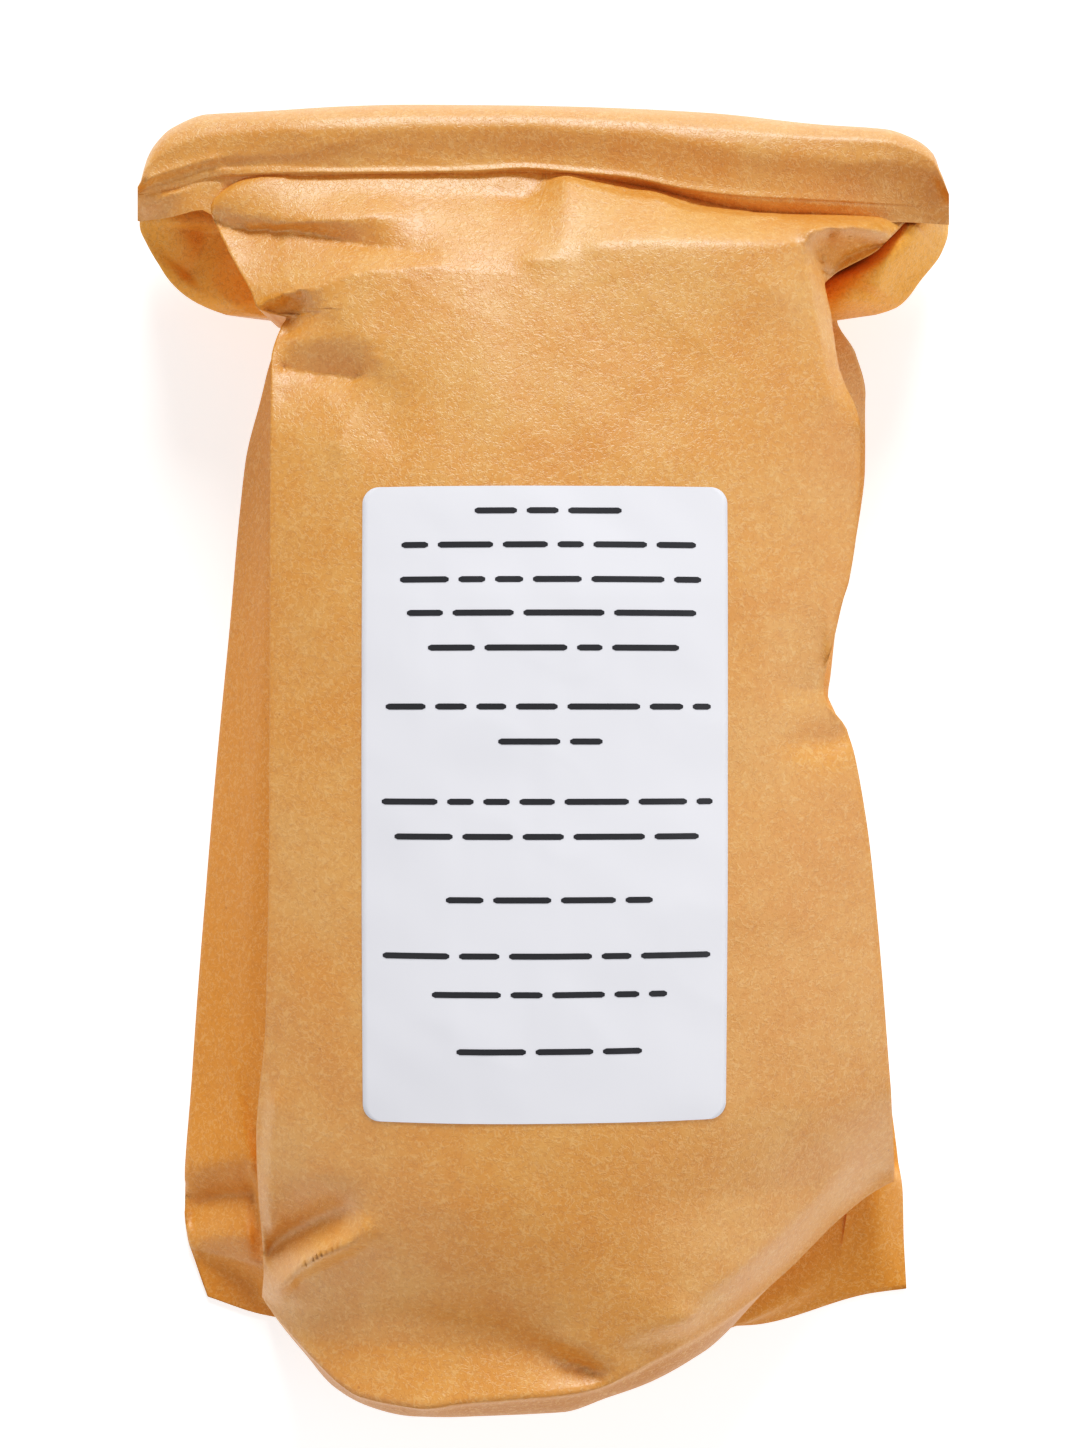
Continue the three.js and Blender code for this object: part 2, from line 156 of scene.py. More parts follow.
# The bottom, from the floor up, each y or z against x: the seam on the floor, the
# underside, the widest line of the bulge, and the ridge where the front panel begins.
SEAM_Y = curve(
    (-58.4, -93.5), (-48.9, -96.6), (-40, -98), (0, -99.5), (35.8, -98.5), (56.7, -93),
    (63.3, -92.1))
UNDER_Y = curve(
    (-61, -90), (-49, -94.4), (-45.4, -96), (-38.8, -99.2), (-30, -104.5), (-18, -106.5),
    (3.4, -106), (18, -101.6), (27, -99.4), (35, -97.2), (43.7, -92.5), (57, -84.5), (63.3, -84))
UNDER_Z = curve(
    (-58, 1), (-47, 1.4), (-38, 6), (18, 6), (30, 5), (36, 4.4), (57, 4), (63, 1))
BULGE_Y = curve(
    (-62, -87), (-50, -91.2), (-45.4, -95), (-38.6, -100.4), (-34.1, -104.2), (-27.6, -106.6),
    (-19.8, -107.6), (3.3, -106.8), (10.6, -104.4), (24.6, -99.4), (33.5, -94.6), (38, -84.5),
    (48.2, -74.4), (57, -69), (63, -75))
BULGE_Z = curve(
    (-61, 1.1), (-50, 2), (-45, 10), (-38, 17), (-30, 22), (-20, 25), (14, 25.5), (26, 20),
    (33.5, 11), (38, 8.6), (57, 8), (63, 2))
# Points (x, y, z) along that ridge, over the bulge, from left to right.
LEFT_RIM = [
    (-45.7, -90.5, 21.5), (-44, -92.1, 23), (-40.7, -94.8, 26.5), (-37.5, -97.4, 29),
    (-33.1, -100.9, 31.5), (-30.2, -102.4, 33), (-26.8, -103.1, 34), (-23, -103.5, 35),
    (-20.1, -103.7, 36)]
MIDDLE_RIM = [
    (-20.1, -103.7, 36), (-17.8, -103.5, 36.4), (-13.3, -102.7, 36.8), (-8.2, -102.2, 37),
    (-2.1, -101.7, 36.8), (2.4, -101.4, 36.4), (6.7, -100.9, 35.8), (9.3, -100.4, 35.2)]
RIGHT_RIM = [
    (9.3, -100.4, 35.2), (13.2, -98.8, 34.5), (18.1, -96.4, 33.6), (23.8, -93.9, 31.6),
    (28.9, -91.5, 29), (33.4, -89.1, 26), (39.6, -85.4, 21), (49.2, -77.8, 15),
    (54.9, -73.7, 13), (60.6, -70.9, 12)]
RIM = [(x, y) for rim in (LEFT_RIM, MIDDLE_RIM, RIGHT_RIM) for x, y, _ in rim[:-1]]
RIDGE_Y = curve((-62.2, -84), (-47, -88.6), *RIM, (62.2, -70))
RIDGE_ENDS = (-46.8, 59.5)  # x of the ends of that ridge, at the front creases
SEAM_ENDS = (-58.4, 63.3)  # x of the ends of the seam

# The roll, each y against x: the neck, where the panel goes under it; the lip
# of its outer layer; its top. The crest is where the front panel turns down
# towards the roll.
NECK_Y = curve(
    (-67.6, 89.2), (-62.8, 89.2), (-57.1, 90), (-55.8, 89.4), (-53.2, 88.6), (-49.9, 87.8),
    (-46.5, 87.4), (-40.7, 86.9), (-36, 87), (-30, 88), (-22, 90), (-3, 91.8), (4, 93),
    (13, 93), (24, 91.4), (32, 89.2), (40, 88.3), (56, 88.4), (60.6, 88.6), (68, 88.4))
LIP_Y = curve(
    (-67.6, 92.8), (-61.3, 93.8), (-55.4, 95.3), (-51.6, 95.6), (-35.7, 95.6), (-12.7, 95.8),
    (-3.2, 96.3), (3.7, 95.8), (14.6, 94.8), (24.1, 92.9), (32.8, 91.9), (39.5, 91.6), (68, 91))
TOP_Y = curve(
    (-68, 94), (-67.3, 95.8), (-66.6, 99.2), (-65.1, 102.4), (-62.1, 105.5), (-56.1, 107.8),
    (-44.7, 108.2), (-22.6, 109), (3.9, 108.7), (14.2, 108.4), (29, 107.7), (46.2, 106),
    (57.3, 105.2), (62.3, 103.4), (65.3, 100.9), (66.6, 97.6), (68.1, 92.6))
CREST_Y = curve(
    (-50, 73.6), (-38.6, 74.2), (-32, 78), (-19, 77.5), (-6, 77.7), (1, 79), (2.4, 81),
    (3.6, 94), (4.4, 95.4), (8, 94), (12.8, 91.8), (19, 90.6), (23.2, 88.8), (31.2, 87.1),
    (40.6, 86.3), (43.2, 84.9), (60, 84))


def to_path(x, y, path):
    """Distance to a path, the side of it (1 left, -1 right), and the place along it, 0 to 1."""
    near = np.full(x.shape, 1e9)
    side = np.ones(x.shape)
    along = np.zeros(x.shape)
    lengths = [math.dist(a, b) for a, b in zip(path[:-1], path[1:])]
    done = 0.0
    for (ax, ay), (bx, by), length in zip(path[:-1], path[1:], lengths):
        ux, uy = (bx - ax) / length, (by - ay) / length
        t = np.clip((x - ax) * ux + (y - ay) * uy, 0, length)
        away = np.hypot(x - ax - t * ux, y - ay - t * uy)
        nearer = away < near
        turn = np.sign(ux * (y - ay) - uy * (x - ax))
        near = np.where(nearer, away, near)
        side = np.where(nearer, turn, side)
        along = np.where(nearer, (done + t) / sum(lengths), along)
        done += length
    return near, side, along


def fold_height(x, y, folds):
    """How much a list of folds raises the paper at (x, y)."""
    height = np.zeros(x.shape)
    for fold in folds:
        near, side, along = to_path(x, y, fold["path"])
        soft = fold["soft"]
        reach = np.where(side > 0, fold["left"], fold["right"])
        fall = np.exp(-(np.hypot(near, soft) - soft) / np.maximum(reach, 0.05))
        start, end = fold["ends"]
        taper = ease(0, start + 1e-6, along) * ease(0, end + 1e-6, 1 - along)
        height += fold["rise"] * fall * taper
    return height


# Creases and edges of the panel's top and bottom, each with how crisp it is (0 to
# 1) and its points (x, y, z). The paper is stretched between them.
TOP_LINES = [
    ("under the lip", 0.3, [(-53.3, 94.3, 30.4), (-50, 94.8, 30.8), (-41.1, 94.7, 31.1),
        (-29.7, 94.7, 31.2), (-20, 94.7, 31.2), (-12.3, 95, 31), (-3.1, 95.6, 30.8),
        (2.8, 95.3, 30.4)]),
    ("behind the lip", 0.3, [(-54, 99.1, 25), (-34.8, 99.3, 28), (-20.1, 99.3, 28),
        (2.8, 99.3, 28)]),
    ("neck, left", 1, [(-54, 88.8, 28.2), (-51.5, 87.4, 29.2), (-47, 86.5, 30.4),
        (-43.5, 86.2, 31.6), (-41, 86, 32.4)]),
    ("behind the neck", 0.7, [(-53.5, 89.5, 30.2), (-50, 88.5, 31.4), (-46.7, 87.6, 32.7),
        (-43.2, 87.2, 33.7), (-39.8, 87.2, 34.6)]),
    ("roll's lower fold", 0.4, [(-39.8, 87.2, 34.6), (-35.8, 87.1, 35.8), (-32.5, 87.2, 36.4),
        (-26.1, 87.3, 36.4), (-19.8, 87.5, 35.4)]),
    ("crease under that fold", 0.9, [(-40.9, 86, 32.6), (-38.7, 85.6, 32.6), (-36, 85, 33.2),
        (-32.4, 84.1, 34), (-28.9, 83.2, 35.1), (-22.9, 82.2, 37.3), (-18, 81.4, 38.8)]),
    ("foot of the slope", 0.1, [(-3.1, 91.6, 31.8), (-8.6, 92.3, 31.8), (-18.3, 92.7, 31.9),
        (-29.6, 92.7, 32), (-40, 92.6, 32), (-49.1, 92.2, 31.6), (-53.1, 91.8, 30.9)]),
    ("shoulder's crest", 0.8, [(-37, 75.2, 39), (-35.8, 75.3, 39.2), (-33.9, 76.2, 39.6),
        (-30.3, 77.3, 40.4), (-25.8, 78.2, 41), (-16.3, 78.3, 41.8), (-10, 77.6, 42.3),
        (-5.5, 77.3, 42.6)]),
    ("crest by the bump", 0.9, [(-2.1, 79.5, 42.7), (0.3, 79.6, 43), (2.7, 79.7, 43.3)]),
    ("beyond that crest", 0, [(-33.8, 71.9, 40.6), (-30.2, 72.5, 41.5), (-16.2, 73.1, 43),
        (2.7, 74.1, 44.2), (21.6, 74.5, 44), (37.5, 74.8, 42.2)]),
    ("free edge", 1, [(-54, 88.8, 28.2), (-52.5, 86, 30.6), (-49.7, 80.6, 33.6),
        (-47.1, 75.9, 35.4), (-45.7, 73, 36)]),
    ("flap's edge", 1, [(-45.7, 73, 36), (-43.7, 74, 36.6), (-41.9, 74.7, 37.2),
        (-40.1, 75.2, 37.8), (-38.3, 75.4, 38.4), (-37, 75.2, 38.8), (-35.9, 72.2, 38.4)]),
    ("pocket", 1, [(-45, 72.5, 34), (-42.9, 73.3, 34), (-41.2, 74, 34.4), (-39.5, 74.5, 35.6)]),
    ("pocket's wall", 1, [(-38.6, 74.5, 36.6), (-39.6, 72.9, 35.2), (-41.2, 71.7, 33)]),
    ("foot of that wall", 0.9, [(-35.9, 72.2, 38.4), (-38, 70.9, 36.8), (-39.7, 69.8, 35.6),
        (-41.2, 69, 34.6)]),
    ("left crease", 0.6, [(-41.2, 71.7, 33), (-41.9, 70, 34.2), (-42.6, 67.9, 35.6),
        (-43.4, 64.8, 37), (-43.6, 61.1, 38), (-43.4, 54.5, 39.8), (-43.3, 49.7, 40.6)]),
    ("above the dent", 0, [(-39.8, 67.5, 38), (-35.4, 67.6, 40.4), (-31.3, 67.6, 42),
        (-27.6, 66.6, 43.2)]),
    ("dent", 1, [(-41.7, 63.3, 36.2), (-38.9, 62.5, 37.2), (-34, 61.9, 38.4), (-30.4, 61.2, 39.6),
        (-28.9, 61.4, 40.4)]),
    ("tip of the dent", 0.8, [(-25.8, 63.8, 43.8), (-26.8, 60.8, 42.6), (-28.7, 57.3, 43),
        (-30.8, 52.8, 44.2), (-32.2, 49.2, 45)]),
    ("right of that ridge", 0, [(-22.8, 62.5, 44.6), (-23.1, 57.2, 44.2), (-24.3, 50.8, 45)]),
    ("below the dent", 0, [(-41.5, 58.5, 38.4), (-37, 58, 40.2), (-32.9, 58.1, 41.6)]),
    ("bump's ridge", 0.7, [(2.7, 79.7, 43.3), (3.2, 83.8, 40.8), (3.7, 88.6, 37.8),
        (4, 93.9, 34.2)]),
    ("bump's left edge", 0.6, [(4, 94, 33.6), (2.1, 93.5, 33), (0, 92.6, 32.4),
        (-2.1, 91.6, 32)]),
    ("behind that left edge", 0.4, [(3.7, 95.8, 31), (1.5, 95.1, 30.8), (-0.8, 93.9, 30.8)]),
    ("left of the bump", 0, [(-1.8, 87.9, 36), (-2.4, 83.2, 39.6)]),
    ("panel's top edge", 1, [(4, 94, 33.6), (7.7, 92.6, 34.2), (12.7, 91.1, 34.6),
        (18.5, 90.4, 34.8), (23.2, 88.6, 35), (31.6, 88, 34.6), (41.1, 87.6, 34),
        (46.3, 87.5, 33.6), (52.9, 87.6, 32.4), (55.4, 86.8, 30.6)]),
    ("behind that edge", 0.9, [(4.4, 95.7, 31), (8.1, 94.3, 31.4), (13.1, 92.8, 31.8),
        (19, 92.2, 31.6), (23.7, 90.5, 31), (32.2, 90.3, 28.5), (41.8, 90, 27.5), (47.1, 90, 27),
        (54.1, 90, 26)]),
    ("under the roll", 0.5, [(4.8, 98.3, 27), (13.3, 96.2, 27), (24.2, 94.3, 26), (42, 92.8, 25),
        (55.6, 92.2, 24)]),
    ("right corner", 1, [(42.8, 84.7, 39.8), (41.8, 83.2, 39.8), (41.3, 81.7, 39.8),
        (42, 80.2, 39.4)]),
    ("foot of the corner", 0.9, [(45.7, 84.7, 34.8), (45.5, 83.3, 33.6), (44.3, 82, 34.6)]),
    ("right crease", 1, [(44.4, 82, 34.8), (45.6, 77.8, 34.2), (46.3, 72.8, 34.8),
        (47, 67.8, 35.8), (47.6, 64, 36.6), (48.3, 59.9, 37.6), (49.8, 57.1, 38.4),
        (50.5, 53.4, 39)]),
    ("inside the right crease", 0.3, [(42.1, 78.7, 40), (42.8, 75.2, 39.8), (43.4, 70.4, 40),
        (44.3, 64, 40.6), (45.5, 57.6, 41)]),
    ("tube", 0.5, [(42.8, 84.7, 39.8), (45.8, 85.5, 38.4), (49.2, 85.8, 36.8), (52.7, 86, 34.2),
        (55.7, 85.8, 31)]),
    ("tube's foot", 0.9, [(45.8, 84.8, 35.2), (48.7, 84.6, 34), (51.6, 85.2, 32.4),
        (54.1, 85, 30.6), (56.4, 85, 29.2)]),
    ("second face", 0.2, [(45.7, 83.5, 33), (49, 83.6, 31.4), (52.4, 84.5, 29.8)]),
    ("edge of the hollow", 1, [(44.8, 81.9, 32.5), (46.3, 77.7, 31), (48.1, 81.2, 29.6),
        (50.1, 82.7, 29), (52.5, 83.7, 28.4), (54.8, 84.5, 27.6)]),
    ("below the top edge", 0.1, [(7.4, 81.6, 43), (15.3, 82.4, 42.8), (24.8, 82.5, 42.6),
        (31.9, 82.4, 42.2), (39.2, 82.5, 41)]),
]
BOTTOM_LINES = [
    ("left crease", 0.5, [(-44, -40, 40.5), (-44.7, -53.3, 38.4), (-45.6, -61.7, 36),
        (-46.2, -69.3, 33), (-45.6, -73.9, 31), (-45.6, -82, 27), (-46.1, -85.1, 25),
        (-47.2, -89.4, 21)]),
    ("inside the left crease", 0.3, [(-42.3, -53.4, 41), (-43.2, -61.7, 38.6), (-43.8, -68.7, 36),
        (-43.8, -74.9, 32.6)]),
    ("hollow above the pinch", 0.4, [(-45.4, -80.7, 25.4), (-42.3, -77.8, 27.4),
        (-39.1, -75.8, 30), (-35.2, -73.3, 33.8), (-31.7, -71.2, 37.5)]),
    ("pinch", 1, [(-46.8, -89.1, 21.5), (-44.5, -87.4, 26.5), (-42.9, -86, 29.6),
        (-40.9, -83.6, 32.5), (-38.5, -80.8, 36), (-35.5, -78.5, 39.2), (-31.3, -76.4, 41.6),
        (-28.6, -74.6, 42.6), (-27.8, -73, 43)]),
    ("below the pinch", 0.8, [(-41.9, -88.5, 26.5), (-39.4, -85.2, 29.6), (-35.9, -82.6, 32.8),
        (-31.6, -80.1, 36), (-27, -77.2, 40)]),
    ("above the pinch", 0, [(-41.3, -67.6, 37), (-35.4, -65.8, 41), (-30.4, -65.4, 43)]),
    ("long hollow", 0.4, [(-40.3, -88.2, 28.6), (-34.5, -87.2, 31.6), (-26.3, -87.9, 34.4),
        (-18.5, -89.6, 35.2), (-8.2, -91.8, 35.4), (-2.1, -93.9, 35), (1.5, -96, 34.2)]),
    ("end of the long hollow", 1, [(1.5, -96, 34.2), (4, -97, 33.2), (6.8, -98.1, 32.6),
        (9.4, -99, 33.8)]),
    ("above that end", 0.2, [(2.7, -92.4, 38.4), (7.5, -93.8, 38), (11, -95.9, 37)]),
    ("right hollow", 0, [(11, -92.8, 38), (17.1, -90.6, 37.8), (23.5, -88.7, 37.6)]),
    ("left rim", 0.1, LEFT_RIM),
    ("rim", 0.6, MIDDLE_RIM),
    ("right rim", 0.1, RIGHT_RIM),
    ("right crease", 0.4, [(57.4, -53.5, 27), (59, -61.5, 20), (60.5, -69.7, 12.8)]),
    ("above the rim, right", 0, [(49.9, -66.4, 25), (42, -74.1, 28), (31.8, -81.5, 34),
        (23.5, -85.9, 37.4)]),
]

# Smaller folds of the rest of the panel and of the sides: a path, how high it
# stands or how deep it goes, how far it reaches to the left and right of the
# path, how round its top is, and the share of the path over which each end fades.
PANEL_FOLDS = [
    {"name": "kink", "path": [(46, 12), (40, 11.4), (33, 11.8)],
     "rise": -1.4, "left": 2.6, "right": 6, "soft": 0.8, "ends": (0.05, 0.7)},
    {"name": "lower kink", "path": [(50, 4.6), (46, 3.1), (40, 2.8), (35, 3.4)],
     "rise": -2.4, "left": 2, "right": 6.5, "soft": 0.3, "ends": (0.05, 0.6)},
]
SIDE_FOLDS = [
    {"name": "left ear valley",
     "path": [(-56.6, 89.7), (-56.9, 86.4), (-58.1, 83.5), (-60.8, 80.5)],
     "rise": -2.2, "left": 2.5, "right": 5, "soft": 0.5, "ends": (0.1, 0.2)},
    {"name": "right ear ridge", "path": [(60.6, 89.4), (56.5, 83.3), (54.5, 77.2)],
     "rise": 2.2, "left": 3, "right": 5, "soft": 0.4, "ends": (0.05, 0.1)},
    {"name": "left corner hollow", "path": [(-62.5, -78.4), (-56, -75.8), (-48.5, -74.2)],
     "rise": -3.4, "left": 3.5, "right": 4, "soft": 0.4, "ends": (0.01, 0.1)},
    {"name": "left corner upper", "path": [(-63, -71), (-48, -67)],
     "rise": 2.4, "left": 7, "right": 4, "soft": 1.5, "ends": (0.01, 0.1)},
    {"name": "left corner lower", "path": [(-62, -84), (-56, -82), (-49, -81)],
     "rise": 2.2, "left": 4, "right": 4, "soft": 1.0, "ends": (0.01, 0.1)},
]


CELL = 0.5  # of the grids that hold the relief
NEIGHBOURS = ((1, 0), (-1, 0), (0, 1), (0, -1))
# How far apart the cells are that pull on each other, and for how many rounds.
STRETCH_ROUNDS = ((16, 60), (8, 60), (4, 60), (2, 120), (1, 1200))


def make_relief(box, lines, base, still_row):
    """Heights above base on a grid over box = (x0, y0, x1, y1), stretched between the
    lines and 0 on the still row. They are softened away from crisp lines."""
    x0, y0, x1, y1 = box
    nx = int(round((x1 - x0) / CELL)) + 1
    ny = int(round((y1 - y0) / CELL)) + 1
    gx, gy = np.meshgrid(np.linspace(x0, x1, nx), np.linspace(y0, y1, ny))
    total = np.zeros(gx.shape)
    count = np.zeros(gx.shape)
    crisp = np.zeros(gx.shape)
    for _, sharpness, points in lines:
        for (ax, ay, az), (bx, by, bz) in zip(points[:-1], points[1:]):
            steps = int(math.dist((ax, ay), (bx, by)) / (CELL * 0.4)) + 2
            t = np.linspace(0, 1, steps)
            i = np.rint((mix(ax, bx, t) - x0) / CELL).astype(int)
            j = np.rint((mix(ay, by, t) - y0) / CELL).astype(int)
            inside = (i >= 0) & (i < nx) & (j >= 0) & (j < ny)
            np.add.at(total, (j[inside], i[inside]), mix(az, bz, t)[inside])
            np.add.at(count, (j[inside], i[inside]), 1)
            np.maximum.at(crisp, (j[inside], i[inside]), sharpness)
    ground = base(gx, gy)
    held = count > 0
    held[still_row] = True
    delta = np.where(count > 0, total / np.maximum(count, 1) - ground, 0)
    target = delta.copy()
    for step, times in STRETCH_ROUNDS:
        for _ in range(times):
            wide = np.pad(delta, step, mode="edge")
            across = wide[step:-step, 2 * step:] + wide[step:-step, :-2 * step]
            along = wide[2 * step:, step:-step] + wide[:-2 * step, step:-step]
            delta = np.where(held, target, (across + along) / 4)
    soft = delta
    for _ in range(8):
        soft = (soft * 2 + sum(shift(soft, dx, dy) for dx, dy in NEIGHBOURS)) / 6
    keep = crisp
    for _ in range(6):
        grown = [shift(keep, dx, dy) * 0.8 for dx, dy in NEIGHBOURS]
        keep = np.maximum.reduce([keep] + grown)
    return mix(soft, delta, keep)


def shift(grid, dx, dy):
    """The grid moved by whole cells, its border cells repeated."""
    padded = np.pad(grid, ((abs(dy), abs(dy)), (abs(dx), abs(dx))), mode="edge")
    top, left = abs(dy) - dy, abs(dx) - dx
    return padded[top:top + grid.shape[0], left:left + grid.shape[1]]


def sample(grid, box, x, y):
    """The grid's value at (x, y), between its cells, or at the nearest edge of its box."""
    x0, y0, x1, y1 = box
    u = np.clip((x - x0) / (x1 - x0), 0, 1) * (grid.shape[1] - 1)
    v = np.clip((y - y0) / (y1 - y0), 0, 1) * (grid.shape[0] - 1)
    i = np.minimum(u.astype(int), grid.shape[1] - 2)
    j = np.minimum(v.astype(int), grid.shape[0] - 2)
    s, t = u - i, v - j
    low = mix(grid[j, i], grid[j, i + 1], s)
    high = mix(grid[j + 1, i], grid[j + 1, i + 1], s)
    return mix(low, high, t)


# The sides of the front panel without the notches of its creases: x and z against y.
PLAIN_LEFT = curve(
    (-90, -46.8), (-60, -46), (-40, -44.4), (0, -43.4), (55, -43.6), (100, -46))
PLAIN_RIGHT = curve(
    (-70, 59.5), (-53, 57), (-14.5, 52.8), (10, 50.4), (35, 50), (75, 50.6), (100, 54))
PLAIN_LEFT_HEIGHT = curve(
    (-89.8, 20), (-82.6, 24), (-62.2, 33), (-40, 40), (-5.8, 43), (32.7, 42), (54.5, 39.5),
    (EAR_ROW, 35.5), (97, 28))
PLAIN_RIGHT_HEIGHT = curve(
    (-69.5, 20), (-53.1, 30), (-32, 34), (-1.2, 37), (40, 38.4), (73.1, 37.4), (97, 30))
SWELL_POWER = 2.3  # how sharply the panel turns down at its sides


def plateau(x, y):
    """Height of the front panel without its creases and folds."""
    left_x, right_x = PLAIN_LEFT(y), PLAIN_RIGHT(y)
    share = np.clip((x - left_x) / (right_x - left_x), -0.2, 1.2)
    left, right = PLAIN_LEFT_HEIGHT(y), PLAIN_RIGHT_HEIGHT(y)
    off = np.abs(2 * share - 1)
    swell = (CROWN_HEIGHT(y) - (left + right) / 2) * (1 - off ** SWELL_POWER)
    return mix(left, right, share) + swell


TOP_BOX = (-58, 26, 64, 101)
BOTTOM_BOX = (-52, -112, 64, -12)
top_relief = make_relief(TOP_BOX, TOP_LINES, plateau, still_row=0)
bottom_relief = make_relief(BOTTOM_BOX, BOTTOM_LINES, plateau, still_row=-1)


def panel_height(x, y):
    """Height of the front panel."""
    height = plateau(x, y) + fold_height(x, y, PANEL_FOLDS) + crumple(x, y, 3)
    height = height + sample(top_relief, TOP_BOX, x, y)
    return height + sample(bottom_relief, BOTTOM_BOX, x, y)


# ---- the surface of the bag's body

SIDE = 18  # columns over each gusset
PANEL = 84  # columns over the front panel
COLUMNS = PANEL + 2 * SIDE
ROW_ENDS = {"bottom": 12, "fan": 42, "body": 120, "shoulder": 144, "tucked": 150}
ROWS = ROW_ENDS["tucked"]
# Share of the way across the panel, against the share of its columns, and y against
# the share of the body's rows. Both are denser over the folds.
PANEL_SHARE = curve((0, 0), (0.38, 0.24), (0.8, 0.82), (1, 1))
BODY_ROW_Y = curve((0, STRAIGHT_ROW), (0.5, 40), (1, EAR_ROW))

EDGE_LIFT = 0.8  # height of the edge where the front meets the back, and of the seam
EAR_TURN = (72, 77)  # between these heights y the gussets turn into the ears
# For each gusset: how far its inner fold lies behind the front crease, that fold's
# height in the ear, where across the ear its outer layer is highest, how high that
# is, and from where to where x runs along its rows.
LEFT_GUSSET = {"tuck": 1.2, "ear_tuck": 19, "ear_top_at": 0.5, "ear_top": 19.5, "run": (-61, -47)}
RIGHT_GUSSET = {"tuck": 5, "ear_tuck": 18.5, "ear_top_at": 0.6, "ear_top": 23.5, "run": (62, 59)}
TUCK_SHARE = 0.45  # height of a gusset's inner fold, as a share of its crease's
GUSSET_SAG = 1
EAR_TUCK = 2  # how far the ear's inner fold lies behind the front crease


def side_points(y, is_left):
    """Edge, fold, tuck and front crease of one gusset at heights y."""
    inward, gusset = (1, LEFT_GUSSET) if is_left else (-1, RIGHT_GUSSET)
    edge_x = (LEFT_EDGE if is_left else RIGHT_EDGE)(y)
    crease_x = (LEFT_CREASE if is_left else RIGHT_CREASE)(y)
    crease_z = panel_height(crease_x, y)
    edge = np.array([edge_x, y, EDGE_HEIGHT(y)])
    crease = np.array([crease_x, y, crease_z])
    ear = ease(*EAR_TURN, y)
    body_tuck = np.array([crease_x + inward * gusset["tuck"], y, crease_z * TUCK_SHARE])
    body_fold = mix(edge, body_tuck, 0.5)
    body_fold[2] -= GUSSET_SAG
    ear_tuck_z = np.full(y.shape, float(gusset["ear_tuck"]))
    ear_tuck = np.array([crease_x + inward * EAR_TUCK, y, ear_tuck_z])
    ear_fold = mix(edge, ear_tuck, gusset["ear_top_at"])
    ear_fold[2] = gusset["ear_top"]
    return [edge, mix(body_fold, ear_fold, ear), mix(body_tuck, ear_tuck, ear), crease]


def row_y(x, row):
    """Height y of a row of the bag where it crosses x."""
    bottom, fan, body, shoulder, _ = ROW_ENDS.values()
    fan_share = np.clip((row - bottom) / (fan - bottom), 0, 1)
    body_share = np.clip((row - fan) / (body - fan), 0, 1)
    shoulder_share = np.clip((row - body) / (shoulder - body), 0, 1)
    tuck_share = np.clip((row - shoulder) / (ROWS - shoulder), 0, 1)
    y = mix(RIDGE_Y(x), STRAIGHT_ROW, fan_share)
    y = np.where(row > fan, BODY_ROW_Y(body_share), y)
    end = np.maximum(NECK_Y(x), CREST_Y(x) + 3)
    y = np.where(row > body, mix(EAR_ROW, end, shoulder_share), y)
    return np.where(row > shoulder, mix(end, LIP_Y(x) + 5, tuck_share), y)


def front(column, row):
    """Points of the front of the bag, as x, y, z."""
    share = (column - SIDE) / PANEL
    # the panel
    inner = PANEL_SHARE(np.clip(share, 0, 1))
    y = row_y(mix(*RIDGE_ENDS, inner), row)
    x = mix(LEFT_CREASE(y), RIGHT_CREASE(y), inner)
    points = np.array([x, y, panel_height(x, y)])
    # the gussets and ears
    for is_left in (True, False):
        on_side = share < 0 if is_left else share > 1
        if not on_side.any():
            continue
        from_edge = column[on_side] if is_left else COLUMNS - column[on_side]
        inwards = from_edge / SIDE
        run = (LEFT_GUSSET if is_left else RIGHT_GUSSET)["run"]
        side_y = row_y(mix(*run, inwards), row[on_side])
        side = through(side_points(side_y, is_left), inwards)
        folds = fold_height(side[0], side[1], SIDE_FOLDS) + crumple(side[0], side[1], 11)
        side[2] += folds * ease(-0.25, 0.25, inwards) * ease(1, 0.8, inwards)
        side[2] = np.maximum(side[2], EDGE_LIFT / 2)
        points[:, on_side] = side
    # under the roll, where the bag is narrower
    points[0] *= 1 - 0.1 * ease(90.5, 97, points[1])
    # the bottom
    low = row < ROW_ENDS["bottom"]
    if low.any():
        ridge = front(column[low], np.full(column[low].shape, float(ROW_ENDS["bottom"])))
        seam_x = mix(*SEAM_ENDS, column[low] / COLUMNS)
        x1, x2 = mix(seam_x, ridge[0], 1 / 3), mix(seam_x, ridge[0], 2 / 3)
        lines = [
            np.array([seam_x, SEAM_Y(seam_x), np.full(seam_x.shape, EDGE_LIFT)]),
            np.array([x1, UNDER_Y(x1), UNDER_Z(x1)]),
            np.array([x2, BULGE_Y(x2), BULGE_Z(x2)]),
            ridge,
        ]
        points[:, low] = through(lines, row[low] / ROW_ENDS["bottom"])
    return points


# The back: its pasted seam runs up the middle, and the back rises to the roll.
SEAM_MIDDLE = -4  # x of the pasted seam
SEAM_HALF_WIDTH = 7
PAPER_LAYER = 0.25  # how far the back stands off the floor beside the pasted seam
NECK_RISE = 9  # how high the back is at the roll
BACK_POWER = 4  # how sharply the back turns up at its edges


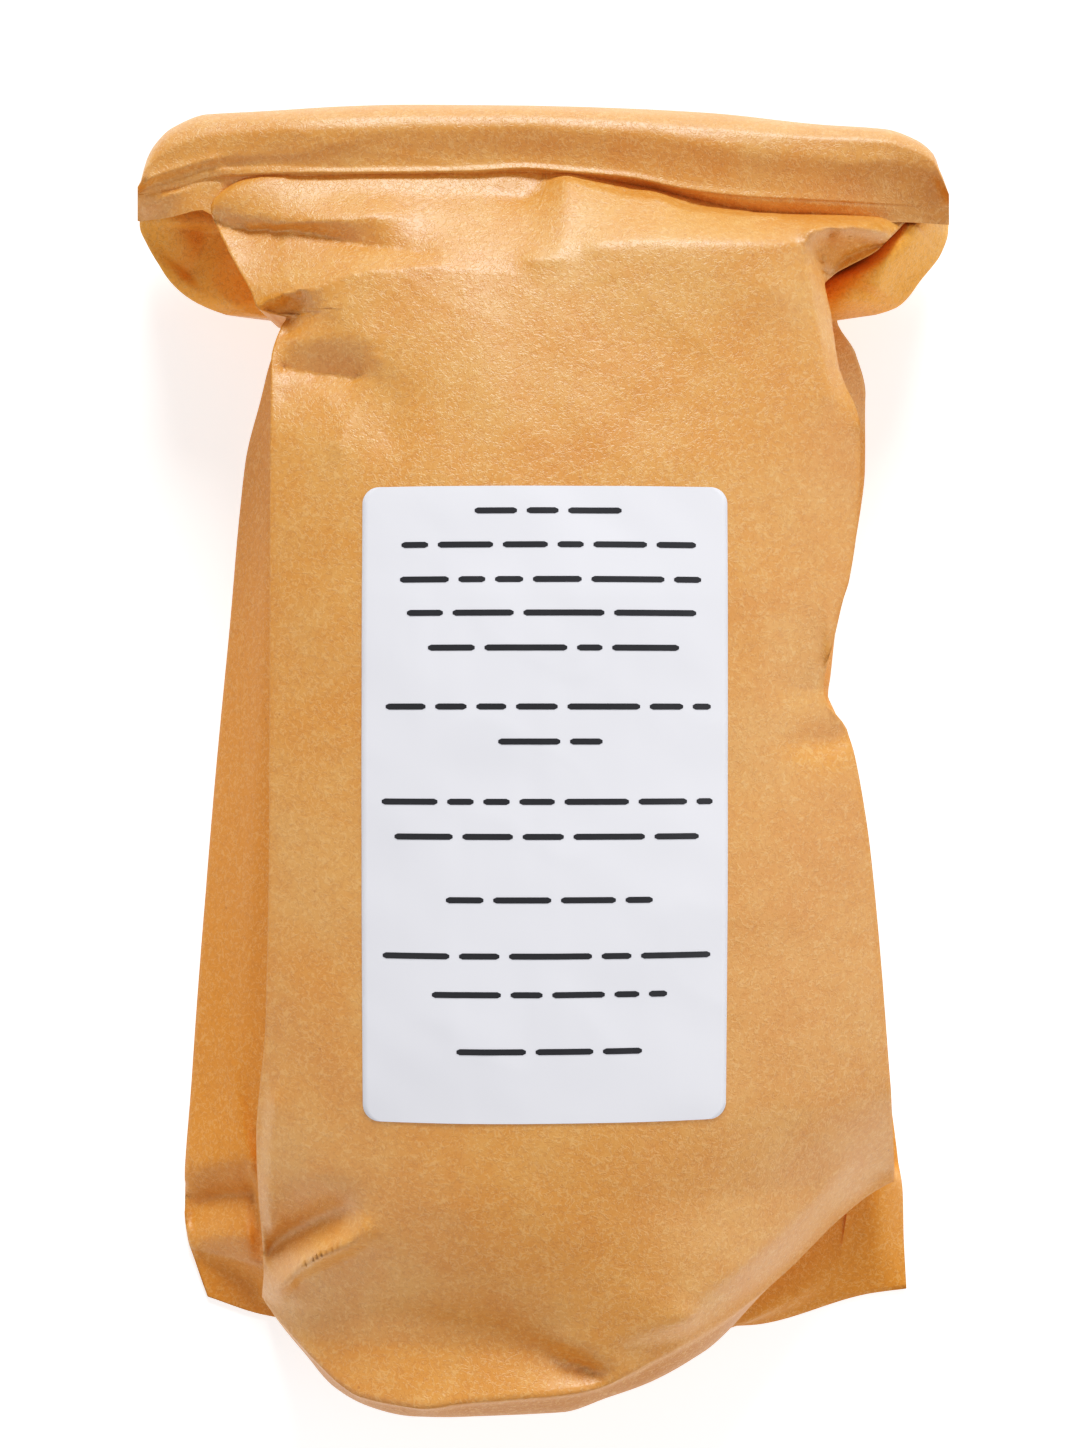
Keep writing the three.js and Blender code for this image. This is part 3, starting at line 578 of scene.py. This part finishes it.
def back(column, row):
    """Points of the back of the bag, as x, y, z."""
    share = column / COLUMNS
    left = front(np.zeros(row.shape), row)
    right = front(np.full(row.shape, float(COLUMNS)), row)
    x, y, edge = mix(left, right, share)
    off = np.abs(2 * share - 1)
    from_seam = np.abs(x - SEAM_MIDDLE)
    overlap = ease(SEAM_HALF_WIDTH + 0.4, SEAM_HALF_WIDTH - 0.4, from_seam) * ease(-97, -96, y)
    middle = NECK_RISE * ease(72, 89, y) + PAPER_LAYER * (1 - overlap)
    bow = (SEAM_Y(x) - mix(SEAM_Y(-60), SEAM_Y(64), share)) * ease(-60, -93, y)
    z = np.maximum(mix(middle, edge - EDGE_LIFT, off ** BACK_POWER), 0)
    return np.array([x, y + bow, z])


def to_frame(points):
    """Drawing points, in millimetres, as frame points, in metres."""
    x, y, z = points
    return np.array([(x + DRAWING_SHIFT[0]) * MM, (y + DRAWING_SHIFT[1]) * MM, z * MM]).T


def place_verts(verts, points):
    """Moves each vertex to its drawing point."""
    for vert, place in zip(verts, to_frame(points)):
        vert.co = Vector(place)


def finish_mesh(bm, name):
    """The object of a shaped bmesh, its doubles merged and its faces outwards."""
    bmesh.ops.remove_doubles(bm, verts=bm.verts, dist=2e-6)
    bmesh.ops.recalc_face_normals(bm, faces=bm.faces)
    for face in bm.faces:
        face.smooth = True
    mesh = bpy.data.meshes.new(name)
    bm.to_mesh(mesh)
    bm.free()
    piece = bpy.data.objects.new(name, mesh)
    bpy.context.scene.collection.objects.link(piece)
    return piece


# Hollows painted with shade, a deeper tone where shade falls in them: x and y of the middle, and
# half sizes.
SHADED_HOLLOWS = (((50, 82.6), (7, 2.6)), ((-42.6, 73.4), (4, 1.9)))


def tone_shares(points, share, row):
    """How far points of the front take the painted shade of the gussets, the bottom below the
    ridge, the rim and the hollows, the painted glow of the ears and the painted shade of the
    underside, 0 to 1. The share is 0 at the rim, 1 at the front crease and more on the panel."""
    x, y, _ = points
    on_gusset = ease(1.1, 0.9, share)
    below_ridge = ease(12, 10.8, row)
    in_corner = np.where(x < 0, 0.35, 0.6)
    # painted shade: a deeper tone on the gussets, fuller low down, and below the ridge
    painted_shade = np.maximum(on_gusset * mix(in_corner, 1, ease(-88, -62, y)), below_ridge)
    upper_right = np.where(x > 0, ease(54, 60, y) * ease(75, 73, y), 0)
    painted_shade *= 1 - 0.75 * upper_right
    along_rim = ease(16, 12.5, row) * ease(12, 30, x)
    painted_shade = np.maximum(painted_shade, 0.6 * along_rim)
    for (hollow_x, hollow_y), (half_x, half_y) in SHADED_HOLLOWS:
        away = np.hypot((x - hollow_x) / half_x, (y - hollow_y) / half_y)
        painted_shade = np.maximum(painted_shade, 0.8 * ease(1.2, 0.7, away))
    # painted glow in the ears, as if lit through the paper and by light bounced in the fold
    ear = on_gusset * ease(72, 76, y)
    # painted shade on the underside of the bulge
    under = below_ridge * ease(2, 6, row) * (ease(-46, -40, x) * ease(40, 30, x))
    return {"painted_shade": painted_shade, "ear": ear, "under": under}


def make_body():
    """The bag's body: a flat pattern of two sheets, joined at the rim, then shaped."""
    bm = bmesh.new()
    bmesh.ops.create_grid(bm, x_segments=COLUMNS, y_segments=ROWS, size=0.5)
    flat_back = bmesh.ops.duplicate(bm, geom=bm.verts[:] + bm.edges[:] + bm.faces[:])
    back_verts = [e for e in flat_back["geom"] if isinstance(e, bmesh.types.BMVert)]
    bmesh.ops.translate(bm, verts=back_verts, vec=(0, 0, -1))
    rims = [edge for edge in bm.edges if edge.is_boundary]
    bmesh.ops.bridge_loops(bm, edges=rims)
    front_edges = [e for e in bm.edges if all(v.co.z > -0.5 for v in e.verts)]
    bmesh.ops.subdivide_edges(bm, edges=front_edges, cuts=1, use_grid_fill=True)
    flat = np.array([v.co for v in bm.verts])
    column = (flat[:, 0] + 0.5) * COLUMNS
    row = (flat[:, 1] + 0.5) * ROWS
    is_front = flat[:, 2] > -0.5
    points = np.zeros((3, len(flat)))
    points[:, is_front] = front(column[is_front], row[is_front])
    points[:, ~is_front] = back(column[~is_front], row[~is_front])
    share = np.minimum(column, COLUMNS - column) / SIDE
    for tone, amount in tone_shares(points, share, row).items():
        layer = bm.verts.layers.float.new(tone)
        for vert, value in zip(bm.verts, np.where(is_front, amount, 0.0)):
            vert[layer] = value
    place_verts(bm.verts, points)
    return finish_mesh(bm, "bag_body")


# ---- the roll

ROLL_ENDS = (-67.9, 68)  # x of its ends, as seen at the height ROLL_MIDDLE
ROLL_MIDDLE = 18
ROLL_TAPER = 0.12  # how much flatter the roll is at its ends
ROLL_COLUMNS = 260
# Rows of its sheet: 0-1 is the inner band from the neck to the lip, 1-2 its face up
# to the top, 2-3 its back down to the bag.
ROLL_PLACES = np.concatenate([
    np.linspace(0, 0.97, 16), [0.995, 1.001, 1.02], np.linspace(1.05, 2, 40),
    np.linspace(2.05, 3, 24)])
# Height of the neck, against x.
NECK_Z = curve(
    (-67.4, 24), (-57, 29.2), (-54.4, 29.2), (-52, 26), (-24, 25), (5, 24), (20, 26),
    (32, 27.6), (56, 26.8), (68, 25.2))
# Height of the roll's face from its lip (0) to its top (1), in the middle, at its
# left end and at its right end.
ROLL_FACE = curve(
    (0, 31.7), (0.03, 31.6), (0.08, 31.3), (0.15, 31.4), (0.26, 31.8), (0.38, 32.4),
    (0.52, 32.9), (0.64, 32.5), (0.76, 31), (0.87, 28.2), (0.95, 24.6), (1, 19.5))
ROLL_FACE_LEFT = curve(
    (0, 31.4), (0.06, 31.4), (0.12, 31.1), (0.25, 32), (0.5, 31.8), (0.7, 30.2), (0.86, 27),
    (0.95, 23), (1, 19.5))
ROLL_FACE_RIGHT = curve(
    (0, 30.4), (0.05, 30.5), (0.12, 30.7), (0.3, 31.2), (0.5, 32), (0.65, 31.8), (0.8, 29.8),
    (0.92, 25.6), (1, 19.5))
# Height of its back, from the top (0) to the bag (1), and the y where it meets it.
ROLL_REAR = curve((0, 19.5), (0.1, 13.5), (0.3, 9.3), (0.6, 7.6), (1, 8))
ROLL_REAR_Y = 93.6
# Small nicks in its ends: the y, how deep and how wide each is.
LEFT_NICK = (97.9, 0.5, 0.7)
RIGHT_NICK = (97, 1.2, 0.8)
ROLL_FOLDS = [
    {"name": "upper crease", "path": [(-67, 94.6), (-62, 96.4), (-56.9, 97.6), (-52, 98.6)],
     "rise": 0.7, "left": 0.9, "right": 1.6, "soft": 0.15, "ends": (0.02, 0.4)},
    {"name": "lower crease", "path": [(-67, 90.6), (-62.5, 92.6), (-58, 94)],
     "rise": 0.6, "left": 0.8, "right": 1.3, "soft": 0.15, "ends": (0.02, 0.5)},
    {"name": "cross crease", "path": [(-57, 98.6), (-54, 97), (-52.4, 94.6)],
     "rise": 0.4, "left": 0.8, "right": 1.0, "soft": 0.15, "ends": (0.3, 0.5)},
    {"name": "slanting crease", "path": [(-46, 97.6), (-33, 100.4), (-21, 103.6)],
     "rise": 0.55, "left": 3.4, "right": 1.6, "soft": 0.5, "ends": (0.3, 0.5)},
    {"name": "right crease", "path": [(60, 98), (52, 97), (40, 98.4)],
     "rise": 0.45, "left": 2.4, "right": 1.4, "soft": 0.4, "ends": (0.2, 0.6)},
]


def roll_section(x, place):
    """Points (y, z) of the roll's sheet at x, by place as in ROLL_PLACES."""
    taper = 1 - ROLL_TAPER * ease(40, 68, np.abs(x))
    to_left, to_right = ease(-34, -56, x), ease(22, 50, x)
    lip_z = mix(31.6, 30.35, to_right) * taper
    lip_step = 1.1 * ease(38, 14, x) * ease(-60, -50, x) + 0.02
    band = np.clip(place, 0, 1)
    band_y = mix(NECK_Y(x), LIP_Y(x), band)
    band_z = mix(NECK_Z(x), lip_z - lip_step, ease(0, 1, band) * 0.5 + band * 0.5)
    band_folds = crumple(x * 0.6, band_y * 1.3, 31) * 0.8 + fold_height(x, band_y, ROLL_FOLDS)
    band_z += band_folds * ease(1, 0.8, band)
    face = np.clip(place - 1, 0, 1)
    face_y = mix(LIP_Y(x), TOP_Y(x), face)
    face_z = mix(ROLL_FACE(face), ROLL_FACE_LEFT(face), to_left)
    face_z = mix(face_z, ROLL_FACE_RIGHT(face), to_right) * mix(taper, 1, face)
    face_z += fold_height(x, face_y, ROLL_FOLDS) * ease(1, 0.8, face)
    face_z += crumple(x * 0.5, face_y * 1.4, 23) * 1.3 * ease(1, 0.8, face) * ease(0, 0.1, face)
    rear = np.clip(place - 2, 0, 1)
    rear_y = mix(TOP_Y(x), ROLL_REAR_Y, rear ** 0.8)
    y = np.where(place <= 1, band_y, np.where(place <= 2, face_y, rear_y))
    z = np.where(place <= 1, band_z, np.where(place <= 2, face_z, ROLL_REAR(rear)))
    return y, z


def seen_at(x, z):
    """The x at height z that the camera sees in line with x at the roll's middle."""
    return x * (CAMERA_HEIGHT - z) / (CAMERA_HEIGHT - ROLL_MIDDLE)


def make_roll():
    """The rolled top: one sheet from the neck over the lip, face and top to the back."""
    rows = len(ROLL_PLACES) - 1
    bm = bmesh.new()
    bmesh.ops.create_grid(bm, x_segments=ROLL_COLUMNS, y_segments=rows, size=0.5)
    flat = np.array([v.co for v in bm.verts])
    x = mix(*ROLL_ENDS, flat[:, 0] + 0.5)
    y, z = roll_section(x, ROLL_PLACES[np.rint((flat[:, 1] + 0.5) * rows).astype(int)])
    x = seen_at(x, z)
    nick_y, depth, width = RIGHT_NICK
    x -= depth * ease(width, 0.1, np.abs(y - nick_y)) * ease(64.5, 66, x)
    nick_y, depth, width = LEFT_NICK
    x += depth * ease(width, 0.1, np.abs(y - nick_y)) * ease(-64.5, -66, x)
    place_verts(bm.verts, np.array([x, y, z]))
    return finish_mesh(bm, "bag_roll")


# The layers wound up inside the roll.
LAYER_TURNS = 2.6
LAYER_START = math.radians(205)  # where round the roll the outermost layer starts
LAYER_SIZES = (0.88, 0.3)  # of the outermost and innermost, as shares of the roll's
LAYER_HEIGHT = 19.6  # of their middle
LAYER_HALF_HEIGHT = 10.6
LAYER_STEPS = 260
LAYER_THICKNESS = 0.2
LAYER_X = (-65.4, -64, -61, -56, -48, -32, 0, 32, 48, 56, 61, 64, 65.4)


def make_layers():
    """The wound layers inside the roll, one spiral sheet that shows at both ends."""
    bm = bmesh.new()
    columns = len(LAYER_X) - 1
    bmesh.ops.create_grid(bm, x_segments=columns, y_segments=LAYER_STEPS, size=0.5)
    flat = np.array([v.co for v in bm.verts])
    x = np.array(LAYER_X)[np.rint((flat[:, 0] + 0.5) * columns).astype(int)]
    wound = flat[:, 1] + 0.5
    turn = LAYER_START + wound * LAYER_TURNS * 2 * math.pi
    size = mix(*LAYER_SIZES, wound) + 0.03 * np.sin(turn * 1.7 + x * 0.05)
    middle, half = (LIP_Y(x) + TOP_Y(x)) / 2 - 0.3, (TOP_Y(x) - LIP_Y(x)) / 2
    y = middle + half * size * np.cos(turn) * 0.92
    flatter = 1 - 0.1 * ease(50, 66, np.abs(x))
    z = LAYER_HEIGHT + LAYER_HALF_HEIGHT * size * np.sin(turn) * flatter
    x = seen_at(x, z) - np.sign(x) * 0.8 * wound
    place_verts(bm.verts, np.array([x, y, z]))
    bmesh.ops.solidify(bm, geom=bm.faces, thickness=LAYER_THICKNESS * MM)
    return finish_mesh(bm, "bag_roll_layers")


# ---- the label

LABEL_WIDTH = 57
LABEL_HEIGHT = 99.1
LABEL_CORNER = 2.6
LABEL_CENTRE = (0.3, -6.4)
LABEL_THICKNESS = 0.1
LABEL_LIFT = 0.22  # how far it lies above the panel's own surface
PRINT_LIFT = 0.28


def label_half_width(y):
    """Half the label's width at a height from its centre, with its round corners."""
    past = np.clip(np.abs(y) - (LABEL_HEIGHT / 2 - LABEL_CORNER), 0, LABEL_CORNER)
    return LABEL_WIDTH / 2 - LABEL_CORNER + np.sqrt(LABEL_CORNER ** 2 - past ** 2)


def on_panel(x, y, lift):
    """Points a little above the front panel, with the label's fine upright wrinkles."""
    wrinkles = 0.07 * soft_noise(x + 0.04 * y, y * 0.1, 2.8, 41)
    return np.array([x, y, panel_height(x, y) + lift + wrinkles])


def make_label():
    """The sticker: a grid with round corners, laid on the panel, then given a thickness."""
    straight = LABEL_HEIGHT / 2 - LABEL_CORNER
    arc = straight + LABEL_CORNER * np.sin(np.linspace(0.1, math.pi / 2, 10))
    rows = np.concatenate([-arc[::-1], np.linspace(-straight, straight, 100), arc])
    bm = bmesh.new()
    bmesh.ops.create_grid(bm, x_segments=60, y_segments=len(rows) - 1, size=0.5)
    flat = np.array([v.co for v in bm.verts])
    y = rows[np.rint((flat[:, 1] + 0.5) * (len(rows) - 1)).astype(int)]
    x = flat[:, 0] * 2 * label_half_width(y)
    place_verts(bm.verts, on_panel(x + LABEL_CENTRE[0], y + LABEL_CENTRE[1], LABEL_LIFT))
    bmesh.ops.recalc_face_normals(bm, faces=bm.faces)
    bmesh.ops.solidify(bm, geom=bm.faces, thickness=LABEL_THICKNESS * MM)
    return finish_mesh(bm, "label_sticker")


# Lines of print: where each starts and ends, across, and its height.
PRINT_LINES = [
    (-10.6, 12.2, 39.3), (-22, 23.8, 34), (-22.2, 24.6, 28.6), (-21.1, 23.8, 23.4),
    (-17.8, 21.1, 18), (-24.4, 26.1, 8.9), (-6.9, 9.2, 3.5), (-25, 26.4, -5.8),
    (-23, 24.2, -11.2), (-15, 17, -21), (-24.9, 26.1, -29.7), (-17.2, 19.3, -35.7),
    (-13.4, 15.4, -44.6),
]
BAR_HEIGHT = 0.95
BAR_LENGTHS = (3.5, 13)
BAR_GAP = 1.5
LAST_GAP = 4  # a bar that ends nearer the line's end than this runs on to it
LEAST_BAR = 2  # a line ends where there is no room for a bar of this length


def make_print():
    """The label's print: rows of plain bars of uneven length, round at their ends."""
    draw = random.Random(7)
    bm = bmesh.new()
    for start, end, y in PRINT_LINES:
        x = start
        while x < end - LEAST_BAR:
            length = min(draw.uniform(*BAR_LENGTHS), end - x)
            if end - x - length < LAST_GAP:
                length = end - x
            steps = max(6, int(length * 2))
            grid = bmesh.ops.create_grid(bm, x_segments=steps, y_segments=2, size=0.5)
            flat = np.array([v.co for v in grid["verts"]])
            along = (flat[:, 0] + 0.5) * length
            to_end = np.clip(np.minimum(along, length - along) / (BAR_HEIGHT / 2), 0, 1)
            across = flat[:, 1] * BAR_HEIGHT * np.sqrt(1 - (1 - to_end) ** 2 * 0.8)
            place_verts(grid["verts"], on_panel(x + along, y + across, PRINT_LIFT))
            x += length + BAR_GAP
    return finish_mesh(bm, "label_print")


# ---- materials

class Nodes:
    """Short forms for building a material's node tree."""

    def __init__(self, material):
        self.tree = material.node_tree
        self.shader = self.tree.nodes["Principled BSDF"]

    def add(self, kind, inputs=(), **settings):
        node = self.tree.nodes.new(kind)
        for key, value in settings.items():
            setattr(node, key, value)
        for name, value in dict(inputs).items():
            if isinstance(value, bpy.types.NodeSocket):
                self.tree.links.new(value, node.inputs[name])
            else:
                node.inputs[name].default_value = value
        return node

    def link(self, socket, target):
        self.tree.links.new(socket, target)

    def noise(self, place, scale, detail=2.0, distortion=0.0, roughness=0.5):
        inputs = {"Vector": place, "Scale": scale, "Detail": detail, "Distortion": distortion,
                  "Roughness": roughness}
        return self.add("ShaderNodeTexNoise", inputs).outputs["Fac"]

    def band(self, value, low, high, to_low=0.0, to_high=1.0):
        """A smooth step of a value from low to high."""
        inputs = {"Value": value, "From Min": low, "From Max": high, "To Min": to_low,
                  "To Max": to_high}
        node = self.add("ShaderNodeMapRange", inputs, interpolation_type="SMOOTHSTEP")
        return node.outputs["Result"]

    def maths(self, operation, a, b=0.0):
        return self.add("ShaderNodeMath", {0: a, 1: b}, operation=operation).outputs[0]

    def vector_maths(self, operation, a, b):
        return self.add("ShaderNodeVectorMath", {0: a, 1: b}, operation=operation).outputs[0]

    def attribute(self, name):
        return self.add("ShaderNodeAttribute", attribute_name=name).outputs["Fac"]

    def blend(self, share, a, b):
        node = self.add("ShaderNodeMix", {"Factor": share}, data_type="RGBA")
        for socket, value in ((node.inputs[6], a), (node.inputs[7], b)):
            if isinstance(value, bpy.types.NodeSocket):
                self.tree.links.new(value, socket)
            else:
                socket.default_value = (*value, 1)
        return node.outputs[2]


def make_material(name, colour, roughness):
    material = bpy.data.materials.new(name)
    material.use_nodes = True
    shader = material.node_tree.nodes["Principled BSDF"]
    shader.inputs["Base Color"].default_value = (*colour, 1)
    shader.inputs["Roughness"].default_value = roughness
    return material


# Tones of the paper: plain, its patches, its fibres, then painted shade deep in a fold, a painted
# glow in the ears and painted shade under the bottom.
KRAFT_PLAIN = (0.685, 0.275, 0.036)
KRAFT_TAN = (0.73, 0.36, 0.088)
KRAFT_ORANGE = (0.64, 0.226, 0.016)
KRAFT_LIGHT = (0.92, 0.58, 0.25)
KRAFT_DARK = (0.46, 0.15, 0.015)
KRAFT_PAINTED_SHADE = (0.69, 0.255, 0.024)
KRAFT_PAINTED_EAR_GLOW = (0.92, 0.39, 0.05)
KRAFT_PAINTED_UNDER_SHADE = (0.45, 0.155, 0.014)


def make_kraft():
    """Kraft paper: soft mottling, curly light and dark fibres, a few specks, and painted shade in
    folds and under the bottom with a painted glow in the ears; it shines less where shade is
    painted.
    """
    material = make_material("kraft_paper", KRAFT_PLAIN, 0.46)
    nodes = Nodes(material)
    place = nodes.add("ShaderNodeTexCoord").outputs["Object"]
    place = nodes.vector_maths("MULTIPLY", place, (1 / MM, 1 / MM, 1 / MM))

    def fibres(offset, scale, width):
        """Curly threads: parts of the lines where a noise crosses its middle value."""
        moved = nodes.vector_maths("ADD", place, offset)
        field = nodes.noise(moved, scale, 1.0, 0.6)
        off = nodes.maths("ABSOLUTE", nodes.maths("SUBTRACT", field, 0.5))
        line = nodes.band(off, width, width * 0.25)
        gate = nodes.band(nodes.noise(moved, scale * 1.3, 0.0), 0.45, 0.56)
        return nodes.maths("MULTIPLY", line, gate)

    light = nodes.maths(
        "MAXIMUM", fibres((13, 7, 3), 0.75, 0.05), fibres((71, 5, 33), 1.05, 0.055))
    dark = nodes.maths(
        "MAXIMUM", fibres((-31, 17, 11), 0.7, 0.045), fibres((-9, 57, 21), 1.0, 0.05))
    clouds = nodes.noise(place, 0.055, 4.0, 0.4, 0.6)
    patches = nodes.noise(place, 0.3, 3.0, 0.5, 0.6)
    grain = nodes.noise(place, 2.4, 2.0, 0.2, 0.6)
    cells = nodes.add(
        "ShaderNodeTexVoronoi", {"Vector": place, "Scale": 0.17, "Randomness": 1.0}).outputs
    chosen = nodes.add("ShaderNodeSeparateColor", {0: cells["Color"]}).outputs[0]
    speck = nodes.maths(
        "MULTIPLY", nodes.band(cells["Distance"], 0.05, 0.03), nodes.band(chosen, 0.55, 0.6))
    painted_shade, ear, under = (nodes.attribute(name) for name in ("painted_shade", "ear", "under"))

    colour = nodes.blend(nodes.band(clouds, 0.45, 0.68, 0.0, 0.6), KRAFT_PLAIN, KRAFT_TAN)
    colour = nodes.blend(nodes.band(clouds, 0.5, 0.3, 0.0, 0.6), colour, KRAFT_ORANGE)
    colour = nodes.blend(nodes.band(patches, 0.45, 0.75, 0.0, 0.3), colour, KRAFT_TAN)
    colour = nodes.blend(nodes.band(patches, 0.5, 0.25, 0.0, 0.35), colour, KRAFT_ORANGE)
    # painted shade in folds and hollows, with the painted glow in the ears
    colour = nodes.blend(painted_shade, colour, nodes.blend(ear, KRAFT_PAINTED_SHADE, KRAFT_PAINTED_EAR_GLOW))
    # painted shade under the bottom
    colour = nodes.blend(nodes.maths("MULTIPLY", under, 0.6), colour, KRAFT_PAINTED_UNDER_SHADE)
    colour = nodes.blend(nodes.band(grain, 0.5, 0.8, 0.0, 0.12), colour, KRAFT_LIGHT)
    colour = nodes.blend(nodes.band(grain, 0.5, 0.2, 0.0, 0.16), colour, KRAFT_DARK)
    colour = nodes.blend(nodes.maths("MULTIPLY", light, 0.24), colour, KRAFT_LIGHT)
    colour = nodes.blend(nodes.maths("MULTIPLY", dark, 0.24), colour, KRAFT_DARK)
    colour = nodes.blend(nodes.maths("MULTIPLY", speck, 0.6), colour, KRAFT_DARK)
    nodes.link(colour, nodes.shader.inputs["Base Color"])

    height = nodes.maths("MULTIPLY", grain, 0.5)
    height = nodes.maths("ADD", height, nodes.maths("MULTIPLY", light, 0.6))
    height = nodes.maths("SUBTRACT", height, nodes.maths("MULTIPLY", dark, 0.4))
    height = nodes.maths("ADD", height, nodes.maths("MULTIPLY", patches, 2.0))
    bump = nodes.add("ShaderNodeBump", {"Strength": 0.4, "Distance": 0.00012, "Height": height})
    nodes.link(bump.outputs["Normal"], nodes.shader.inputs["Normal"])
    # less shine where shade is painted
    nodes.link(nodes.band(painted_shade, 0, 1, 1.0, 0.4), nodes.shader.inputs["Specular IOR Level"])
    nodes.shader.inputs["IOR"].default_value = 1.55
    return material


kraft = make_kraft()
white_paper = make_material("label_paper", (0.80, 0.80, 0.86), 0.6)
ink = make_material("label_ink", (0.02, 0.02, 0.025), 0.5)


# ---- camera and stage

CAMERA_Y = 6.2
FOCAL_PIXELS = 2580
PHOTO_HEIGHT_PIXELS = 1448
SENSOR_HEIGHT = 36
FLOOR_HALF_SIZE = 1.5  # in metres
FLOOR_GLOW = 0.5
SKY_STRENGTH = 0.42
# Each light: where it shines from, how wide it is in degrees, and its strength.
LIGHTS = {
    "key": ((0.06, 0.87, 0.48), 20, 2.56),
    "right fill": ((0.8, -0.1, 0.6), 50, 0.8),
    "left fill": ((-0.6, -0.5, 0.6), 60, 0.45),
}
# How the picture's brightness is bent, as (light, shown) points, and its white.
TONE_POINTS = ((0.05, 0.035), (0.1, 0.082), (0.35, 0.35), (0.7, 0.695))
TONE_WHITE = (1, 0.925)


def make_camera():
    """The camera over the bag, looking straight down, as the photo does."""
    data = bpy.data.cameras.new("camera")
    data.sensor_fit = "VERTICAL"
    data.sensor_height = SENSOR_HEIGHT
    data.lens = SENSOR_HEIGHT * FOCAL_PIXELS / PHOTO_HEIGHT_PIXELS
    data.clip_start = 0.01
    camera = bpy.data.objects.new("camera", data)
    camera.location = to_frame(np.array([0, CAMERA_Y, CAMERA_HEIGHT]))
    bpy.context.scene.collection.objects.link(camera)
    bpy.context.scene.camera = camera


def make_sun(name, source, spread, strength):
    """A soft light from far away, in the direction of source."""
    data = bpy.data.lights.new(name, "SUN")
    data.angle = math.radians(spread)
    data.energy = strength
    light = bpy.data.objects.new(name, data)
    light.rotation_euler = (-Vector(source)).to_track_quat("-Z", "Y").to_euler()
    bpy.context.scene.collection.objects.link(light)


def make_stage():
    """The pale floor, the sky and the lights."""
    bm = bmesh.new()
    bmesh.ops.create_grid(bm, x_segments=1, y_segments=1, size=FLOOR_HALF_SIZE)
    floor = finish_mesh(bm, "floor")
    white = make_material("floor_white", (0.95, 0.95, 0.95), 0.9)
    shader = white.node_tree.nodes["Principled BSDF"]
    shader.inputs["Emission Color"].default_value = (1, 1, 1, 1)
    shader.inputs["Emission Strength"].default_value = FLOOR_GLOW
    floor.data.materials.append(white)
    world = bpy.data.worlds.new("studio")
    bpy.context.scene.world = world
    world.use_nodes = True
    sky = world.node_tree.nodes["Background"]
    sky.inputs["Color"].default_value = (1, 1, 1, 1)
    sky.inputs["Strength"].default_value = SKY_STRENGTH
    for name, (source, spread, strength) in LIGHTS.items():
        make_sun(name, source, spread, strength)
    view = bpy.context.scene.view_settings
    view.view_transform = "Standard"
    view.use_curve_mapping = True
    points = view.curve_mapping.curves[3].points
    points[-1].location = TONE_WHITE
    for place, value in TONE_POINTS:
        points.new(place, value)
    view.curve_mapping.update()


# ---- assembly

make_camera()
make_stage()

body = make_body()
body.data.materials.append(kraft)
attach(body, "root")
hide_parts("kraft_bag")

roll = make_roll()
roll.data.materials.append(kraft)
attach(roll, "root")

layers = make_layers()
layers.data.materials.append(kraft)
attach(layers, "root")

label = make_label()
label.data.materials.append(white_paper)
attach(label, "root")
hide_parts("label")

label_print = make_print()
label_print.data.materials.append(ink)
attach(label_print, "root")
